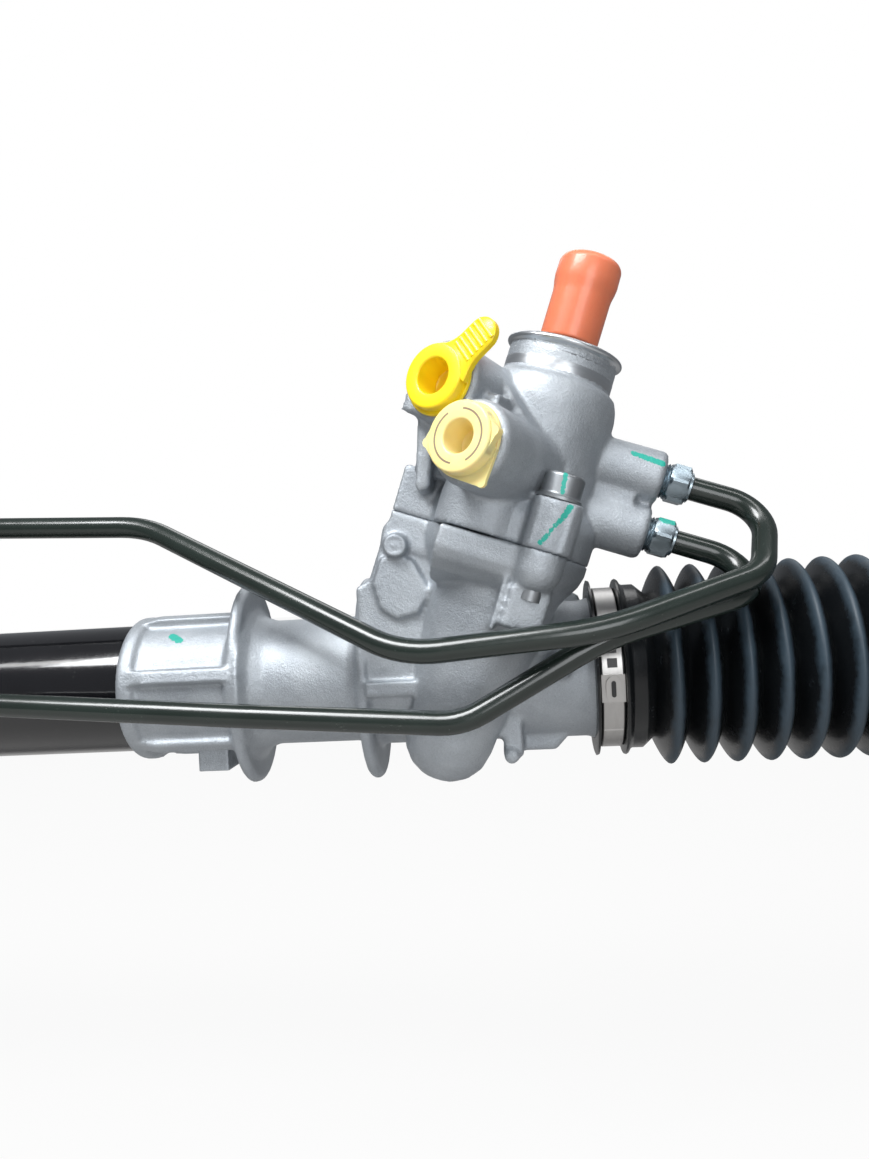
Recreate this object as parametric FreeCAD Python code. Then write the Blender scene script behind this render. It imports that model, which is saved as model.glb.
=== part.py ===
import FreeCAD, Part
import math
import os

# A hydraulic power-steering rack, in millimetres.
# X runs along the rack, Z points up on the side of the valve tower and Y points away from the pipes.
# The origin is the middle of the clamp saddle, on the rack axis.

V = FreeCAD.Vector
os.makedirs("parts", exist_ok=True)

# Clearances
RUN_FIT = 0.05
FREE_GAP = 0.3
GEAR_BACKLASH = 0.2

# Rack bar and its travel
RACK_R = 12.5
RACK_TRAVEL = 70.0
STOP_GAP = 3.0

# Pinion tower: where its axis crosses the rack, how far in front it lies and how much it leans
TOWER_X = 54.7
TOWER_TILT = 20.0

# Rack and pinion teeth
TOOTH_MODULE = 2.0
TOOTH_COUNT = 8
TOOTH_PRESSURE = 20.0
TOOTH_SHIFT = 1.1
TOOTH_TIP_R = 10.7
TOOTH_ROOT_R = 6.5
RACK_ROOT_Y = -6.5
RACK_TOOTH_DEPTH = 4.1
PITCH_R = TOOTH_MODULE * TOOTH_COUNT / 2
RACK_LINE = PITCH_R + TOOTH_SHIFT
TOWER_Y = RACK_ROOT_Y - RACK_TOOTH_DEPTH - (RACK_LINE - TOOTH_MODULE)

# Housing casting along the rack axis
SADDLE_R = 21.3
FLANGE_IN = 19.2
FLANGE_THICK = 4.4
FLANGE_HALF_Z = 34.3
FLANGE_HALF_Y = 24.5
FLANGE_OUT = FLANGE_IN + FLANGE_THICK
SLEEVE_END = -61.0
SLEEVE_R = 24.8
SLEEVE_PANEL_R = 23.0
SLEEVE_RIB_W = 4.8
SLEEVE_RIB_R = 25.9
BODY_R = 22.6
NECK_R = 23.4
NECK_START = 94.8
NECK_END = 110.0
RACK_BORE_R = 14.5

# Cylinder tube
TUBE_R = 22.0
TUBE_BORE_R = 18.0
TUBE_SPIGOT_R = 20.5
TUBE_LEFT = -420.0
TUBE_RIGHT = -28.0
PORT_INNER_X = -165.0
PORT_OUTER_X = -335.0
PISTON_X = (PORT_INNER_X + PORT_OUTER_X) / 2
PISTON_W = 16.0
SEAL_W = 7.0
CARRIER_W = 22.0
END_BUSH_W = 60.0
END_CAP_W = 4.0

# Valve tower, measured along its own axis from the rack axis
SPLIT_S = 45.0
TOWER_R = 21.3
TOWER_FLANGE_R = 26.2
LOBE_R = 14.3
LOBE_S = -33.4
COLLAR_S = 98.0
RIM_S = 108.6
COLLAR_R = 17.3
RIM_R = 18.5
VALVE_BORE_R = 16.5
SEAL_BORE_R = 14.2
BOLT_SEAT_S = 60.3
BOLT_R = 3.5
BOLT_PLACES = ((11.3, -25.5), (-11.3, 25.5))
BOLT_LUG_R = 7.2
LUG_ROUND_S = 39.5

# Pinion shaft stations along the tower axis
PINION_HALF = 16.5
JOURNAL_R = 6.0
LOWER_BEARING_S = (-28.5, -17.5)
LOWER_BEARING_R = 10.5
PINION_SHAFT_R = 9.0
BEARING_S = (24.0, 35.0)
BEARING_R = 16.5
VALVE_S = (48.0, 87.0)
UPPER_BEARING_S = (88.5, 95.5)
SEAL_S = (96.0, 102.5)
INPUT_R = 11.0
SPLINE_R = 7.9
SPLINE_S = (110.0, 132.0)
TORSION_R = 2.4
CAP_R = 9.3
CAP_S = (111.0, 139.0)

# Hose ports: height on the tower, sideways offset, and how far the boss stands out
PORT_TURN = 30.5
PRESSURE_PORT = (83.9, 11.6, 41.4)
RETURN_PORT = (67.8, -6.0, 44.1)
PORT_BOSS_R = 12.5
PORT_HOLE_R = 6.5
PORT_HOLE_DEPTH = 14.0

# Moulded port plugs: one with a ribbed pull tab, one with two blunt lobes, arc grooves and a cornered skirt
PLUG_SKIRT_R = 10.9
PLUG_SKIRT_W = 1.2
PLUG_HOLE_R = 5.0
TAB_PLUG_R = 9.7
TAB_PLUG_W = 4.2
TAB_THICK = 2.4
TAB_HALF = 4.7
TAB_REACH = 22.8
TAB_SIDE = -1.2
TAB_TURN = 22.0
TAB_RIBS = 6
LOBE_PLUG_R = 10.2
LOBE_PLUG_W = 5.1
LOBE_TIP = 12.4
LOBE_TURN = -13.0
SKIRT_TIP = 15.4
SKIRT_TURN = -80.0
GROOVE_R = 7.6

# Pipe bosses and pipes
PIPE_R = 3.7
PIPE_BORE_R = 2.6
PIPE_TIGHT_R = 12.0
PIPE_WIDE_R = 34.0
PIPE_BOSS_R = 8.7
PIPE_BOSS_END = 40.3
PIPE_UPPER_S = 77.8
PIPE_LOWER_S = 60.5
PIPE_UPPER_REACH = 73.3
PIPE_LOWER_REACH = 75.5
NUT_AF = 11.6
NUT_THREAD_R = 5.6
NUT_NECK = 2.0
NUT_HEX = 6.2
TUBE_BOSS_R = 9.0
TUBE_BOSS_TOP = 33.0

# Corners of the pipes between the tower and the tube, each with its bend radius
PIPE_UPPER_CORNERS = (
    (143.9, -35.6, 28.8, PIPE_TIGHT_R), (96.8, -49.0, 15.3, PIPE_WIDE_R * 2), (38.6, -48.0, 11.0, PIPE_WIDE_R),
    (-56.0, -4.0, 56.6, PIPE_WIDE_R), (PORT_INNER_X, 0.0, 63.0, PIPE_TIGHT_R),
)
PIPE_LOWER_CORNERS = (
    (139.5, -31.0, 22.4, PIPE_TIGHT_R), (97.4, -39.5, 12.6, PIPE_WIDE_R * 2), (54.3, -43.0, -10.4, PIPE_WIDE_R * 0.7),
    (-16.9, -39.0, -5.6, PIPE_WIDE_R * 2), (-93.2, -36.0, 0.4, PIPE_WIDE_R), (-262.0, -37.0, 3.0, PIPE_WIDE_R),
    (-292.0, -58.0, 0.0, PIPE_WIDE_R), (PORT_OUTER_X, -61.0, 0.0, PIPE_TIGHT_R),
)

# Rack guide behind the rack
GUIDE_R = 13.0
GUIDE_PLUG_Y = 32.0

# Bellows
FOLD_COUNT = 14
FOLD_PITCH = 10.57
FOLD_WALL = 1.5
FOLD_R = 32.7
FOLD_VALLEY_R = 23.8
BAND_W = 6.7
BAND_WALL = 0.8
CUFF_WALL = 2.2
SMALL_CUFF_W = 14.0
SMALL_CUFF_R = 10.0

# Ball joints and tie rods
BALL_R = 12.0
SEAT_WALL = 2.2
SOCKET_R = 17.5
SOCKET_DEPTH = 22.0
SOCKET_MOUTH = 50.0
ROD_R = 7.0
SHANK_R = 7.8
ROD_LENGTH = 270.0
THREAD_LENGTH = 52.0
THREAD_PITCH_R = 6.5
JAM_NUT_FROM = 10.0
JAM_NUT_W = 10.0


def tower_place():
    return FreeCAD.Placement(V(TOWER_X, TOWER_Y, 0), FreeCAD.Rotation(V(0, 1, 0), TOWER_TILT))


def rack_place(x=0.0, sign=1):
    return FreeCAD.Placement(V(x, 0, 0), FreeCAD.Rotation(V(0, 1, 0), 90 * sign))


def aimed(point, direction):
    return FreeCAD.Placement(V(*point), FreeCAD.Rotation(V(0, 0, 1), V(*direction)))


def put(shape, place):
    moved = shape.copy()
    moved.Placement = place.multiply(moved.Placement)
    return moved


def fuse(first, *others):
    return first.multiFuse(list(others)).removeSplitter()


def rod(radius, low, high, x=0.0, y=0.0):
    return Part.makeCylinder(radius, high - low, V(x, y, low))


def ring(outer, inner, low, high):
    return rod(outer, low, high).cut(rod(inner, low - 1, high + 1))


def cone(r_low, r_high, low, high, x=0.0, y=0.0):
    return Part.makeCone(r_low, r_high, high - low, V(x, y, low))


def block(x0, x1, y0, y1, z0, z1):
    return Part.makeBox(x1 - x0, y1 - y0, z1 - z0, V(x0, y0, z0))


def turned(profile):
    """Solid of revolution about Z from (radius, height) points."""
    points = [V(radius, 0, height) for radius, height in profile]
    face = Part.Face(Part.makePolygon(points + [points[0]]))
    return face.revolve(V(0, 0, 0), V(0, 0, 1), 360)


def prism(points, low, high, place=FreeCAD.Placement()):
    """Straight prism over (x, y) points from low to high."""
    corners = [V(x, y, low) for x, y in points]
    face = Part.Face(Part.makePolygon(corners + [corners[0]]))
    return put(face.extrude(V(0, 0, high - low)), place)


def hexagon(across_flats, low, high):
    radius = across_flats / 2 / math.cos(math.pi / 6)
    points = []
    for i in range(6):
        angle = math.radians(60 * i + 30)
        points.append((radius * math.cos(angle), radius * math.sin(angle)))
    solid = prism(points, low, high)
    bevel = across_flats / 2 * 1.02
    rounding = turned([(0, low), (bevel, low), (radius, low + 0.8), (radius, high - 0.8), (bevel, high), (0, high)])
    return solid.common(rounding)


def bent_rod(start, corners, end, radius):
    """Round rod from start to end along straight runs, with a tangent arc at each (x, y, z, bend radius) corner."""
    path = [V(*start)] + [V(*corner[:3]) for corner in corners] + [V(*end)]
    edges = []
    here = path[0]
    for i, corner in enumerate(corners):
        point, bend = path[i + 1], corner[3]
        into = (point - path[i]).normalize()
        out = (path[i + 2] - point).normalize()
        turn = into.getAngle(out)
        back = bend * math.tan(turn / 2)
        p0 = point - into * back
        p1 = point + out * back
        middle = point + (out - into).normalize() * (bend / math.cos(turn / 2) - bend)
        edges.append(Part.makeLine(here, p0))
        edges.append(Part.Arc(p0, middle, p1).toShape())
        here = p1
    edges.append(Part.makeLine(here, path[-1]))
    section = Part.Wire(Part.makeCircle(radius, path[0], path[1] - path[0]))
    return Part.Wire(edges).makePipeShell([section], True, False)


def pipe(start, corners, end):
    return bent_rod(start, corners, end, PIPE_R).cut(bent_rod(start, corners, end, PIPE_BORE_R))


def save(name, shape):
    shape.exportStep("parts/" + name + ".step")


TOWER = tower_place()
RACK = rack_place()
GUIDE = aimed((TOWER_X, 0, 0), (0, 1, 0))
P_DIR = V(-math.sin(math.radians(PORT_TURN)), -math.cos(math.radians(PORT_TURN)), 0)


def port_place(port):
    """Frame of one hose port: Z points out of the port, in tower coordinates."""
    height, offset, _ = port
    base = V(-offset * math.cos(math.radians(PORT_TURN)), offset * math.sin(math.radians(PORT_TURN)), height)
    return FreeCAD.Placement(base, FreeCAD.Rotation(V(0, 0, 1), P_DIR))


def side_place(height):
    """Frame of one pipe boss: Z points to the right of the tower, in tower coordinates."""
    return FreeCAD.Placement(V(0, 0, height), FreeCAD.Rotation(V(0, 1, 0), 90))


# Rack housing: sleeve, saddle, flanges, neck and the lower half of the tower

def flange(low, high):
    """Oval flange about the rack axis with softened rims."""
    solid = None
    for inset, a, b in ((1.2, low, high), (0.0, low + 1.0, high - 1.0)):
        oval = Part.Ellipse(V(0, 0, 0), FLANGE_HALF_Z - inset, FLANGE_HALF_Y - inset)
        wire = Part.Wire(oval.toShape())
        plate = Part.Face(wire).extrude(V(0, 0, b - a))
        plate.translate(V(0, 0, a))
        solid = plate if solid is None else solid.fuse(plate)
    return put(solid, RACK)


def rack_housing():
    along = [
        (0, SLEEVE_END), (SLEEVE_R - 1.2, SLEEVE_END), (SLEEVE_R, SLEEVE_END + 1.5), (SLEEVE_R, SLEEVE_END + 5),
        (SLEEVE_PANEL_R, SLEEVE_END + 6.5), (SLEEVE_PANEL_R, -FLANGE_OUT - 1), (SLEEVE_R, -FLANGE_OUT),
        (SADDLE_R + 5, -FLANGE_IN), (SADDLE_R + 1.6, -FLANGE_IN + 2.5), (SADDLE_R, -FLANGE_IN + 7),
        (SADDLE_R, FLANGE_IN - 3), (SADDLE_R + 1.5, FLANGE_IN), (BODY_R, FLANGE_OUT), (BODY_R, NECK_START - 2),
        (NECK_R, NECK_START), (NECK_R, NECK_END), (0, NECK_END),
    ]
    body = put(turned(along), RACK)
    ribs = []
    for i in range(6):
        bar = prism([(SADDLE_R, SLEEVE_END + 4), (SLEEVE_R, SLEEVE_END + 4), (SLEEVE_RIB_R, SLEEVE_END + 10),
                     (SLEEVE_RIB_R, 1 - FLANGE_OUT), (SADDLE_R, 1 - FLANGE_OUT)], -SLEEVE_RIB_W / 2, SLEEVE_RIB_W / 2)
        bar.rotate(V(0, 0, 0), V(1, 0, 0), 90)
        bar.rotate(V(0, 0, 0), V(0, 0, 1), 60 * i + 17)
        ribs.append(put(bar, RACK))
    tower = put(turned([
        (0, LOBE_S), (5.6, LOBE_S + 0.7), (9.9, LOBE_S + 3.4), (12.9, LOBE_S + 7.5), (LOBE_R, LOBE_S + 13),
        (LOBE_R + 0.6, LOBE_S + 20), (17.6, 2), (19.6, 23), (21.2, 31), (25.2, 38), (TOWER_FLANGE_R, 41.5),
        (TOWER_FLANGE_R, SPLIT_S), (0, SPLIT_S),
    ]), TOWER)
    lugs = []
    for x, y in BOLT_PLACES:
        lug = rod(BOLT_LUG_R, LUG_ROUND_S, SPLIT_S, x, y).fuse(
            Part.makeSphere(BOLT_LUG_R, V(x, y, LUG_ROUND_S), V(0, 0, 1), -90, 0))
        bridge = block(-6, 6, min(y, 0), max(y, 0), 34, SPLIT_S)
        bridge.translate(V(x * 0.8, 0, 0))
        lugs.append(put(lug, TOWER))
        lugs.append(put(bridge, TOWER))
    side_lug = block(-38.0, -16, -6, 8, 34, SPLIT_S)
    web_points = [(21, 31), (25.5, 33.5), (29.5, 44), (30.8, 50), (34.5, 53.5), (50, 51), (62, 30), (58, 0), (21, 0)]
    stand = FreeCAD.Placement(V(0, 0, 0), FreeCAD.Rotation(V(1, 0, 0), 90))
    web = prism(web_points, 9, 23, stand).cut(put(block(-90, 90, -60, 60, SPLIT_S, 120), TOWER))
    pad = prism([(27, 32), (30, 40), (34, 40.5), (40, 39), (45, 29), (41, 22), (34, 20.5), (29, 24)], 22, 25, stand)
    ejector = put(rod(3.8, 16, 27), FreeCAD.Placement(V(35.1, 0, 43.7), stand.Rotation))
    rib = prism([(23, 1.0), (46, 1.0), (50, -1.4), (46, -3.8), (23, -3.8)], 18, 26.5, stand)
    gusset = prism([(62, -10), (91, -10), (87, -20), (82, -25.2), (72, -25.2), (62, -20)], 2, 11, stand)
    post = prism([(67.3, -8), (71.5, -8), (71.5, -25), (67.8, -27.5), (65.0, -25), (65.5, -15)], 4, 19, stand)
    back_rib = prism([(24, 6), (24, 30), (60, 44), (93, 24), (93, 6)], -14, -8, stand)
    sleeve_lug = block(-38.5, -28, -12, 6, -28, -18)
    guide_boss = put(fuse(rod(19, 0, 42), cone(22, 19, 8, 24)), GUIDE)
    flanges = [flange(-FLANGE_OUT, -FLANGE_IN), flange(FLANGE_IN, FLANGE_OUT)]
    solid = fuse(body, tower, *ribs, *lugs, put(side_lug, TOWER), web, pad, ejector, rib, gusset, post,
                 back_rib, sleeve_lug, guide_boss, *flanges)
    cuts = [
        put(rod(TUBE_SPIGOT_R, SLEEVE_END - 1, TUBE_RIGHT), RACK),
        put(rod(TUBE_BORE_R, TUBE_RIGHT - 1, TUBE_RIGHT + 10), RACK),
        put(rod(RACK_BORE_R, TUBE_RIGHT, NECK_END + 1), RACK),
        put(cone(RACK_BORE_R, RACK_BORE_R + 6, NECK_END - 14, NECK_END), RACK),
        put(rod(LOWER_BEARING_R, LOWER_BEARING_S[0] - 0.5, 0), TOWER),
        put(rod(TOOTH_TIP_R + 0.6, -PINION_HALF - 0.5, 30), TOWER),
        put(rod(BEARING_R, BEARING_S[0], SPLIT_S + 1), TOWER),
        put(rod(GUIDE_R, 0, 60), GUIDE),
    ]
    for x, y in BOLT_PLACES:
        cuts.append(put(rod(BOLT_R, 28, SPLIT_S + 1, x, y), TOWER))
    return solid.cut(cuts)


# Valve housing: upper half of the tower with the hose ports and pipe bosses

def valve_housing():
    base = SPLIT_S
    body = turned([
        (0, base), (TOWER_FLANGE_R, base), (TOWER_FLANGE_R, 54), (24.9, 57), (22.4, 60), (TOWER_R, 63.5),
        (TOWER_R, 90), (TOWER_R - 0.6, 93.5), (TOWER_R - 1.8, 96.4), (COLLAR_R + 0.6, COLLAR_S - 0.6),
        (COLLAR_R, COLLAR_S), (COLLAR_R, RIM_S - 3.4), (COLLAR_R - 0.5, RIM_S - 2.8), (COLLAR_R, RIM_S - 1.9),
        (RIM_R - 0.3, RIM_S - 1.6), (RIM_R, RIM_S - 0.8), (RIM_R - 0.4, RIM_S), (0, RIM_S),
    ])
    adds = []
    cuts = [
        rod(VALVE_BORE_R, base - 1, UPPER_BEARING_S[1]),
        rod(SEAL_BORE_R, UPPER_BEARING_S[1] - 1, RIM_S + 1),
        cone(SEAL_BORE_R, SEAL_BORE_R + 1.9, SEAL_S[1] + 1, RIM_S + 0.2),
    ]
    for port in (PRESSURE_PORT, RETURN_PORT):
        place = port_place(port)
        reach = port[2]
        boss = turned([(0, 0), (PORT_BOSS_R, 0), (PORT_BOSS_R, reach - 1.5), (PORT_BOSS_R - 1.2, reach), (0, reach)])
        adds.append(put(boss, place))
        cuts.append(put(rod(PORT_HOLE_R, reach - PORT_HOLE_DEPTH, reach + 1), place))
        cuts.append(put(rod(3.4, 12, reach), place))
    port_angle = FreeCAD.Rotation(V(0, 0, 1), 90 - PORT_TURN)
    corner = block(-PRESSURE_PORT[2], 0, PRESSURE_PORT[1], PRESSURE_PORT[1] + 11.4, 73.4, PRESSURE_PORT[0])
    adds.append(put(corner, FreeCAD.Placement(V(0, 0, 0), port_angle)))
    filler = block(-36, 0, RETURN_PORT[1], PRESSURE_PORT[1], RETURN_PORT[0], PRESSURE_PORT[0])
    adds.append(put(filler, FreeCAD.Placement(V(0, 0, 0), port_angle)))
    for height in (PIPE_UPPER_S, PIPE_LOWER_S):
        place = side_place(height)
        end = PIPE_BOSS_END
        boss = turned([(0, 0), (PIPE_BOSS_R, 0), (PIPE_BOSS_R, end - 1.2), (PIPE_BOSS_R - 1.2, end), (0, end)])
        adds.append(put(boss, place))
        cuts.append(put(rod(NUT_THREAD_R, end - 12, end + 1), place))
        cuts.append(put(rod(2.2, 12, end), place))
    adds.append(block(15, 34, -6, 6, PIPE_LOWER_S, PIPE_UPPER_S))
    for x, y in BOLT_PLACES:
        adds.append(rod(BOLT_LUG_R, base, BOLT_SEAT_S, x, y))
        adds.append(block(x - BOLT_LUG_R, x + BOLT_LUG_R, min(0, y), max(0, y), base, BOLT_SEAT_S))
        cuts.append(rod(BOLT_R + FREE_GAP, base - 1, BOLT_SEAT_S + 1, x, y))
        cuts.append(rod(BOLT_LUG_R + 0.4, BOLT_SEAT_S, BOLT_SEAT_S + 12, x, y))
    adds.append(block(-38.0, -20, -6, 8, base, BOLT_SEAT_S))
    adds.append(block(-34, -16, -12, -8.5, 58, 76))
    return put(fuse(body, *adds).cut(cuts), TOWER)


def valve_housing_bolts():
    bolts = []
    for x, y in BOLT_PLACES:
        shank = rod(BOLT_R, 30, BOLT_SEAT_S, x, y)
        washer = rod(6.9, BOLT_SEAT_S, BOLT_SEAT_S + 1.2, x, y)
        head = hexagon(11.0, 1.2, 8.0)
        head.translate(V(x, y, BOLT_SEAT_S))
        bolts.append(put(fuse(shank, washer, head), TOWER))
    return Part.makeCompound(bolts)


# Cylinder tube and what sits in it

def cylinder_tube():
    tube = turned([
        (TUBE_BORE_R, TUBE_LEFT), (TUBE_R - 0.8, TUBE_LEFT), (TUBE_R, TUBE_LEFT + 0.8),
        (TUBE_R, SLEEVE_END - 0.5), (TUBE_SPIGOT_R, SLEEVE_END - 0.5), (TUBE_SPIGOT_R, TUBE_RIGHT),
        (TUBE_BORE_R, TUBE_RIGHT),
    ])
    solid = put(tube, RACK)
    for place in tube_port_places():
        solid = solid.cut(put(rod(3.0, TUBE_BORE_R - 2, TUBE_R + 2), place))
    return solid


def tube_port_places():
    return [aimed((PORT_INNER_X, 0, 0), (0, 0, 1)), aimed((PORT_OUTER_X, 0, 0), (0, -1, 0))]


def tube_port_bosses():
    bosses = []
    for place in tube_port_places():
        boss = turned([
            (3.0, 15), (TUBE_BOSS_R + 1.5, 15), (TUBE_BOSS_R + 1.5, 22.5), (TUBE_BOSS_R, 24.5),
            (TUBE_BOSS_R, TUBE_BOSS_TOP), (NUT_THREAD_R, TUBE_BOSS_TOP), (NUT_THREAD_R, TUBE_BOSS_TOP - 8),
            (3.0, TUBE_BOSS_TOP - 8),
        ])
        bosses.append(put(boss, place).cut(put(rod(TUBE_R, -500, 0), RACK)))
    return Part.makeCompound(bosses)


def inner_seal_carrier():
    low = PORT_INNER_X + 12
    body = ring(TUBE_BORE_R, RACK_R + RUN_FIT, low + SEAL_W, low + CARRIER_W)
    lip = ring(TUBE_BORE_R, RACK_R + 3.2, low, low + SEAL_W)
    return put(fuse(body, lip), RACK)


def inner_rack_seal():
    low = PORT_INNER_X + 12
    return put(ring(RACK_R + 3.2, RACK_R + RUN_FIT, low + 0.5, low + SEAL_W), RACK)


def tube_end_bush():
    high = TUBE_LEFT + END_BUSH_W
    body = ring(TUBE_BORE_R, RACK_R + RUN_FIT, TUBE_LEFT, high - SEAL_W)
    lip = ring(TUBE_BORE_R, RACK_R + 3.2, high - SEAL_W, high)
    cap = turned([
        (RACK_R + RUN_FIT, TUBE_LEFT - END_CAP_W), (TUBE_R - 1.5, TUBE_LEFT - END_CAP_W),
        (TUBE_R - 0.5, TUBE_LEFT - END_CAP_W + 1), (TUBE_R - 0.5, TUBE_LEFT), (RACK_R + RUN_FIT, TUBE_LEFT),
    ])
    return put(fuse(body, lip, cap), RACK)


def outer_rack_seal():
    high = TUBE_LEFT + END_BUSH_W
    return put(ring(RACK_R + 3.2, RACK_R + RUN_FIT, high - SEAL_W, high - 0.5), RACK)


# Bearings, seals and the rack guide

def pinion_lower_bearing():
    low, high = LOWER_BEARING_S
    return put(ring(LOWER_BEARING_R, JOURNAL_R + RUN_FIT, low, high), TOWER)


def pinion_upper_bearing():
    return put(ring(BEARING_R, PINION_SHAFT_R + RUN_FIT, *BEARING_S), TOWER)


def bearing_spacer():
    return put(ring(BEARING_R, 13.8, BEARING_S[1], SPLIT_S), TOWER)


def valve_bearing():
    return put(ring(VALVE_BORE_R, PINION_SHAFT_R + RUN_FIT, *UPPER_BEARING_S), TOWER)


def input_seal():
    low, high = SEAL_S
    shell = ring(SEAL_BORE_R, SEAL_BORE_R - 2, low, high)
    lip = turned([
        (SPLINE_R + RUN_FIT + 0.6, low), (SEAL_BORE_R - 2, low), (SEAL_BORE_R - 2, low + 1.6),
        (SPLINE_R + 2.4, low + 1.6), (SPLINE_R + RUN_FIT + 0.6, high),
    ])
    return put(fuse(shell, lip), TOWER)


def rack_guide():
    body = rod(GUIDE_R - RUN_FIT, 2, 26)
    body = put(body, GUIDE).cut(put(rod(RACK_R + RUN_FIT, -200, 200), RACK))
    return body.cut(put(rod(7.0, 18, 27), GUIDE))


def guide_spring():
    turns = 3.5
    low, high = 19.2, 30.8
    wire = 1.1
    helix = Part.makeHelix((high - low) / turns, high - low, 5.2)
    section = Part.Wire(Part.makeCircle(wire, V(5.2, 0, 0), V(0, 1, 0)))
    coil = Part.Wire(helix).makePipeShell([section], True, True)
    coil.translate(V(0, 0, low))
    return put(coil, GUIDE)


def guide_plug():
    body = turned([
        (0, GUIDE_PLUG_Y), (GUIDE_R, GUIDE_PLUG_Y), (GUIDE_R, 46), (GUIDE_R - 1, 47.5), (0, 47.5),
    ])
    return put(body.cut(hexagon(10.0, 39, 50)), GUIDE)


def guide_lock_nut():
    nut = hexagon(34.0, 42.0, 46.0).cut(rod(GUIDE_R, 40, 50))
    return put(nut, GUIDE)


# Teeth

def involute(angle):
    return math.tan(angle) - angle


def pinion_outline():
    """Outline of the spur pinion, with one tooth pointing along +Y at rest."""
    pressure = math.radians(TOOTH_PRESSURE)
    base_r = PITCH_R * math.cos(pressure)
    shift = TOOTH_SHIFT / TOOTH_MODULE
    thick = TOOTH_MODULE * (math.pi / 2 + 2 * shift * math.tan(pressure)) - GEAR_BACKLASH / 2
    half_at_pitch = thick / 2 / PITCH_R
    flank = []
    steps = 7
    for i in range(steps):
        radius = base_r + (TOOTH_TIP_R - base_r) * i / (steps - 1)
        turn = math.acos(min(1.0, base_r / radius))
        half = half_at_pitch + involute(pressure) - involute(turn)
        flank.append((radius, half))
    root_half = flank[0][1]
    points = []
    for i in range(TOOTH_COUNT):
        centre = math.pi / 2 + 2 * math.pi * i / TOOTH_COUNT
        tooth = [(TOOTH_ROOT_R, -root_half * 1.05)]
        tooth += [(radius, -half) for radius, half in flank]
        tooth += [(radius, half) for radius, half in reversed(flank)]
        tooth.append((TOOTH_ROOT_R, root_half * 1.05))
        points += [(radius * math.cos(centre + a), radius * math.sin(centre + a)) for radius, a in tooth]
    return points


def pinion():
    teeth = prism(pinion_outline(), -PINION_HALF, PINION_HALF)
    ends = turned([
        (0, -PINION_HALF), (TOOTH_TIP_R - 1.2, -PINION_HALF), (TOOTH_TIP_R, -PINION_HALF + 1.4),
        (TOOTH_TIP_R, PINION_HALF), (0, PINION_HALF),
    ])
    teeth = teeth.common(ends)
    journal = rod(JOURNAL_R, LOWER_BEARING_S[0] + 0.8, -PINION_HALF)
    shaft = turned([
        (0, PINION_HALF), (TOOTH_TIP_R, PINION_HALF), (TOOTH_TIP_R, 20), (PINION_SHAFT_R, 22.5),
        (PINION_SHAFT_R, 43), (VALVE_BORE_R - 3.2, 43), (VALVE_BORE_R - 3.2, VALVE_S[0]), (0, VALVE_S[0]),
    ])
    solid = fuse(teeth, journal, shaft)
    for cutter in (rod(TORSION_R + RUN_FIT, -12, 60), rod(7.0, 42, 60)):
        solid = solid.cut(cutter)
    return put(solid, TOWER)


def valve_sleeve():
    low, high = VALVE_S
    outer = VALVE_BORE_R - RUN_FIT
    sleeve = ring(outer, INPUT_R + RUN_FIT, low, high)
    for i in range(4):
        centre = low + 4.5 + i * 10
        sleeve = sleeve.cut(ring(outer + 1, outer - 1.4, centre - 1.1, centre + 1.1))
    for i in range(3):
        centre = low + 9.5 + i * 10
        sleeve = sleeve.cut(ring(outer + 1, outer - 0.9, centre - 2, centre + 2))
        for turn in range(4):
            hole = rod(1.5, 8, 20)
            hole.rotate(V(0, 0, 0), V(0, 1, 0), 90)
            hole.rotate(V(0, 0, 0), V(0, 0, 1), 90 * turn + 30 * i)
            hole.translate(V(0, 0, centre))
            sleeve = sleeve.cut(hole)
    return put(sleeve, TOWER)


def sleeve_rings():
    outer = VALVE_BORE_R - RUN_FIT
    rings = []
    for i in range(4):
        centre = VALVE_S[0] + 4.5 + i * 10
        rings.append(put(ring(outer, outer - 1.4, centre - 1.1, centre + 1.1), TOWER))
    return Part.makeCompound(rings)


def input_shaft():
    low, high = VALVE_S
    shaft = turned([
        (0, 44), (6.9, 44), (6.9, low + 1), (INPUT_R, low + 1), (INPUT_R, high + 0.5),
        (PINION_SHAFT_R, high + 0.5), (PINION_SHAFT_R, UPPER_BEARING_S[1]), (SPLINE_R, UPPER_BEARING_S[1]),
        (SPLINE_R, SPLINE_S[1] - 1.2), (SPLINE_R - 1.2, SPLINE_S[1]), (0, SPLINE_S[1]),
    ])
    for i in range(8):
        slot = block(INPUT_R - 0.8, INPUT_R + 1, -1.6, 1.6, low + 6, high - 6)
        slot.rotate(V(0, 0, 0), V(0, 0, 1), 45 * i)
        shaft = shaft.cut(slot)
    count = 24
    for i in range(count):
        groove = prism([(SPLINE_R - 0.7, 0), (SPLINE_R + 0.5, -0.85), (SPLINE_R + 0.5, 0.85)],
                       SPLINE_S[0], SPLINE_S[1] + 1)
        groove.rotate(V(0, 0, 0), V(0, 0, 1), 360 * i / count)
        shaft = shaft.cut(groove)
    shaft = shaft.cut(rod(TORSION_R, 40, SPLINE_S[1] + 1))
    neck = ring(SPLINE_R + 1, SPLINE_R - 1.2, 121, 124)
    return put(shaft.cut(neck), TOWER)


def torsion_bar():
    bar = turned([
        (0, -10), (TORSION_R, -10), (TORSION_R, 0), (TORSION_R - 0.6, 6), (TORSION_R - 0.6, 100),
        (TORSION_R, 106), (TORSION_R, SPLINE_S[1] - 0.5), (0, SPLINE_S[1] - 0.5),
    ])
    return put(bar, TOWER)


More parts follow.
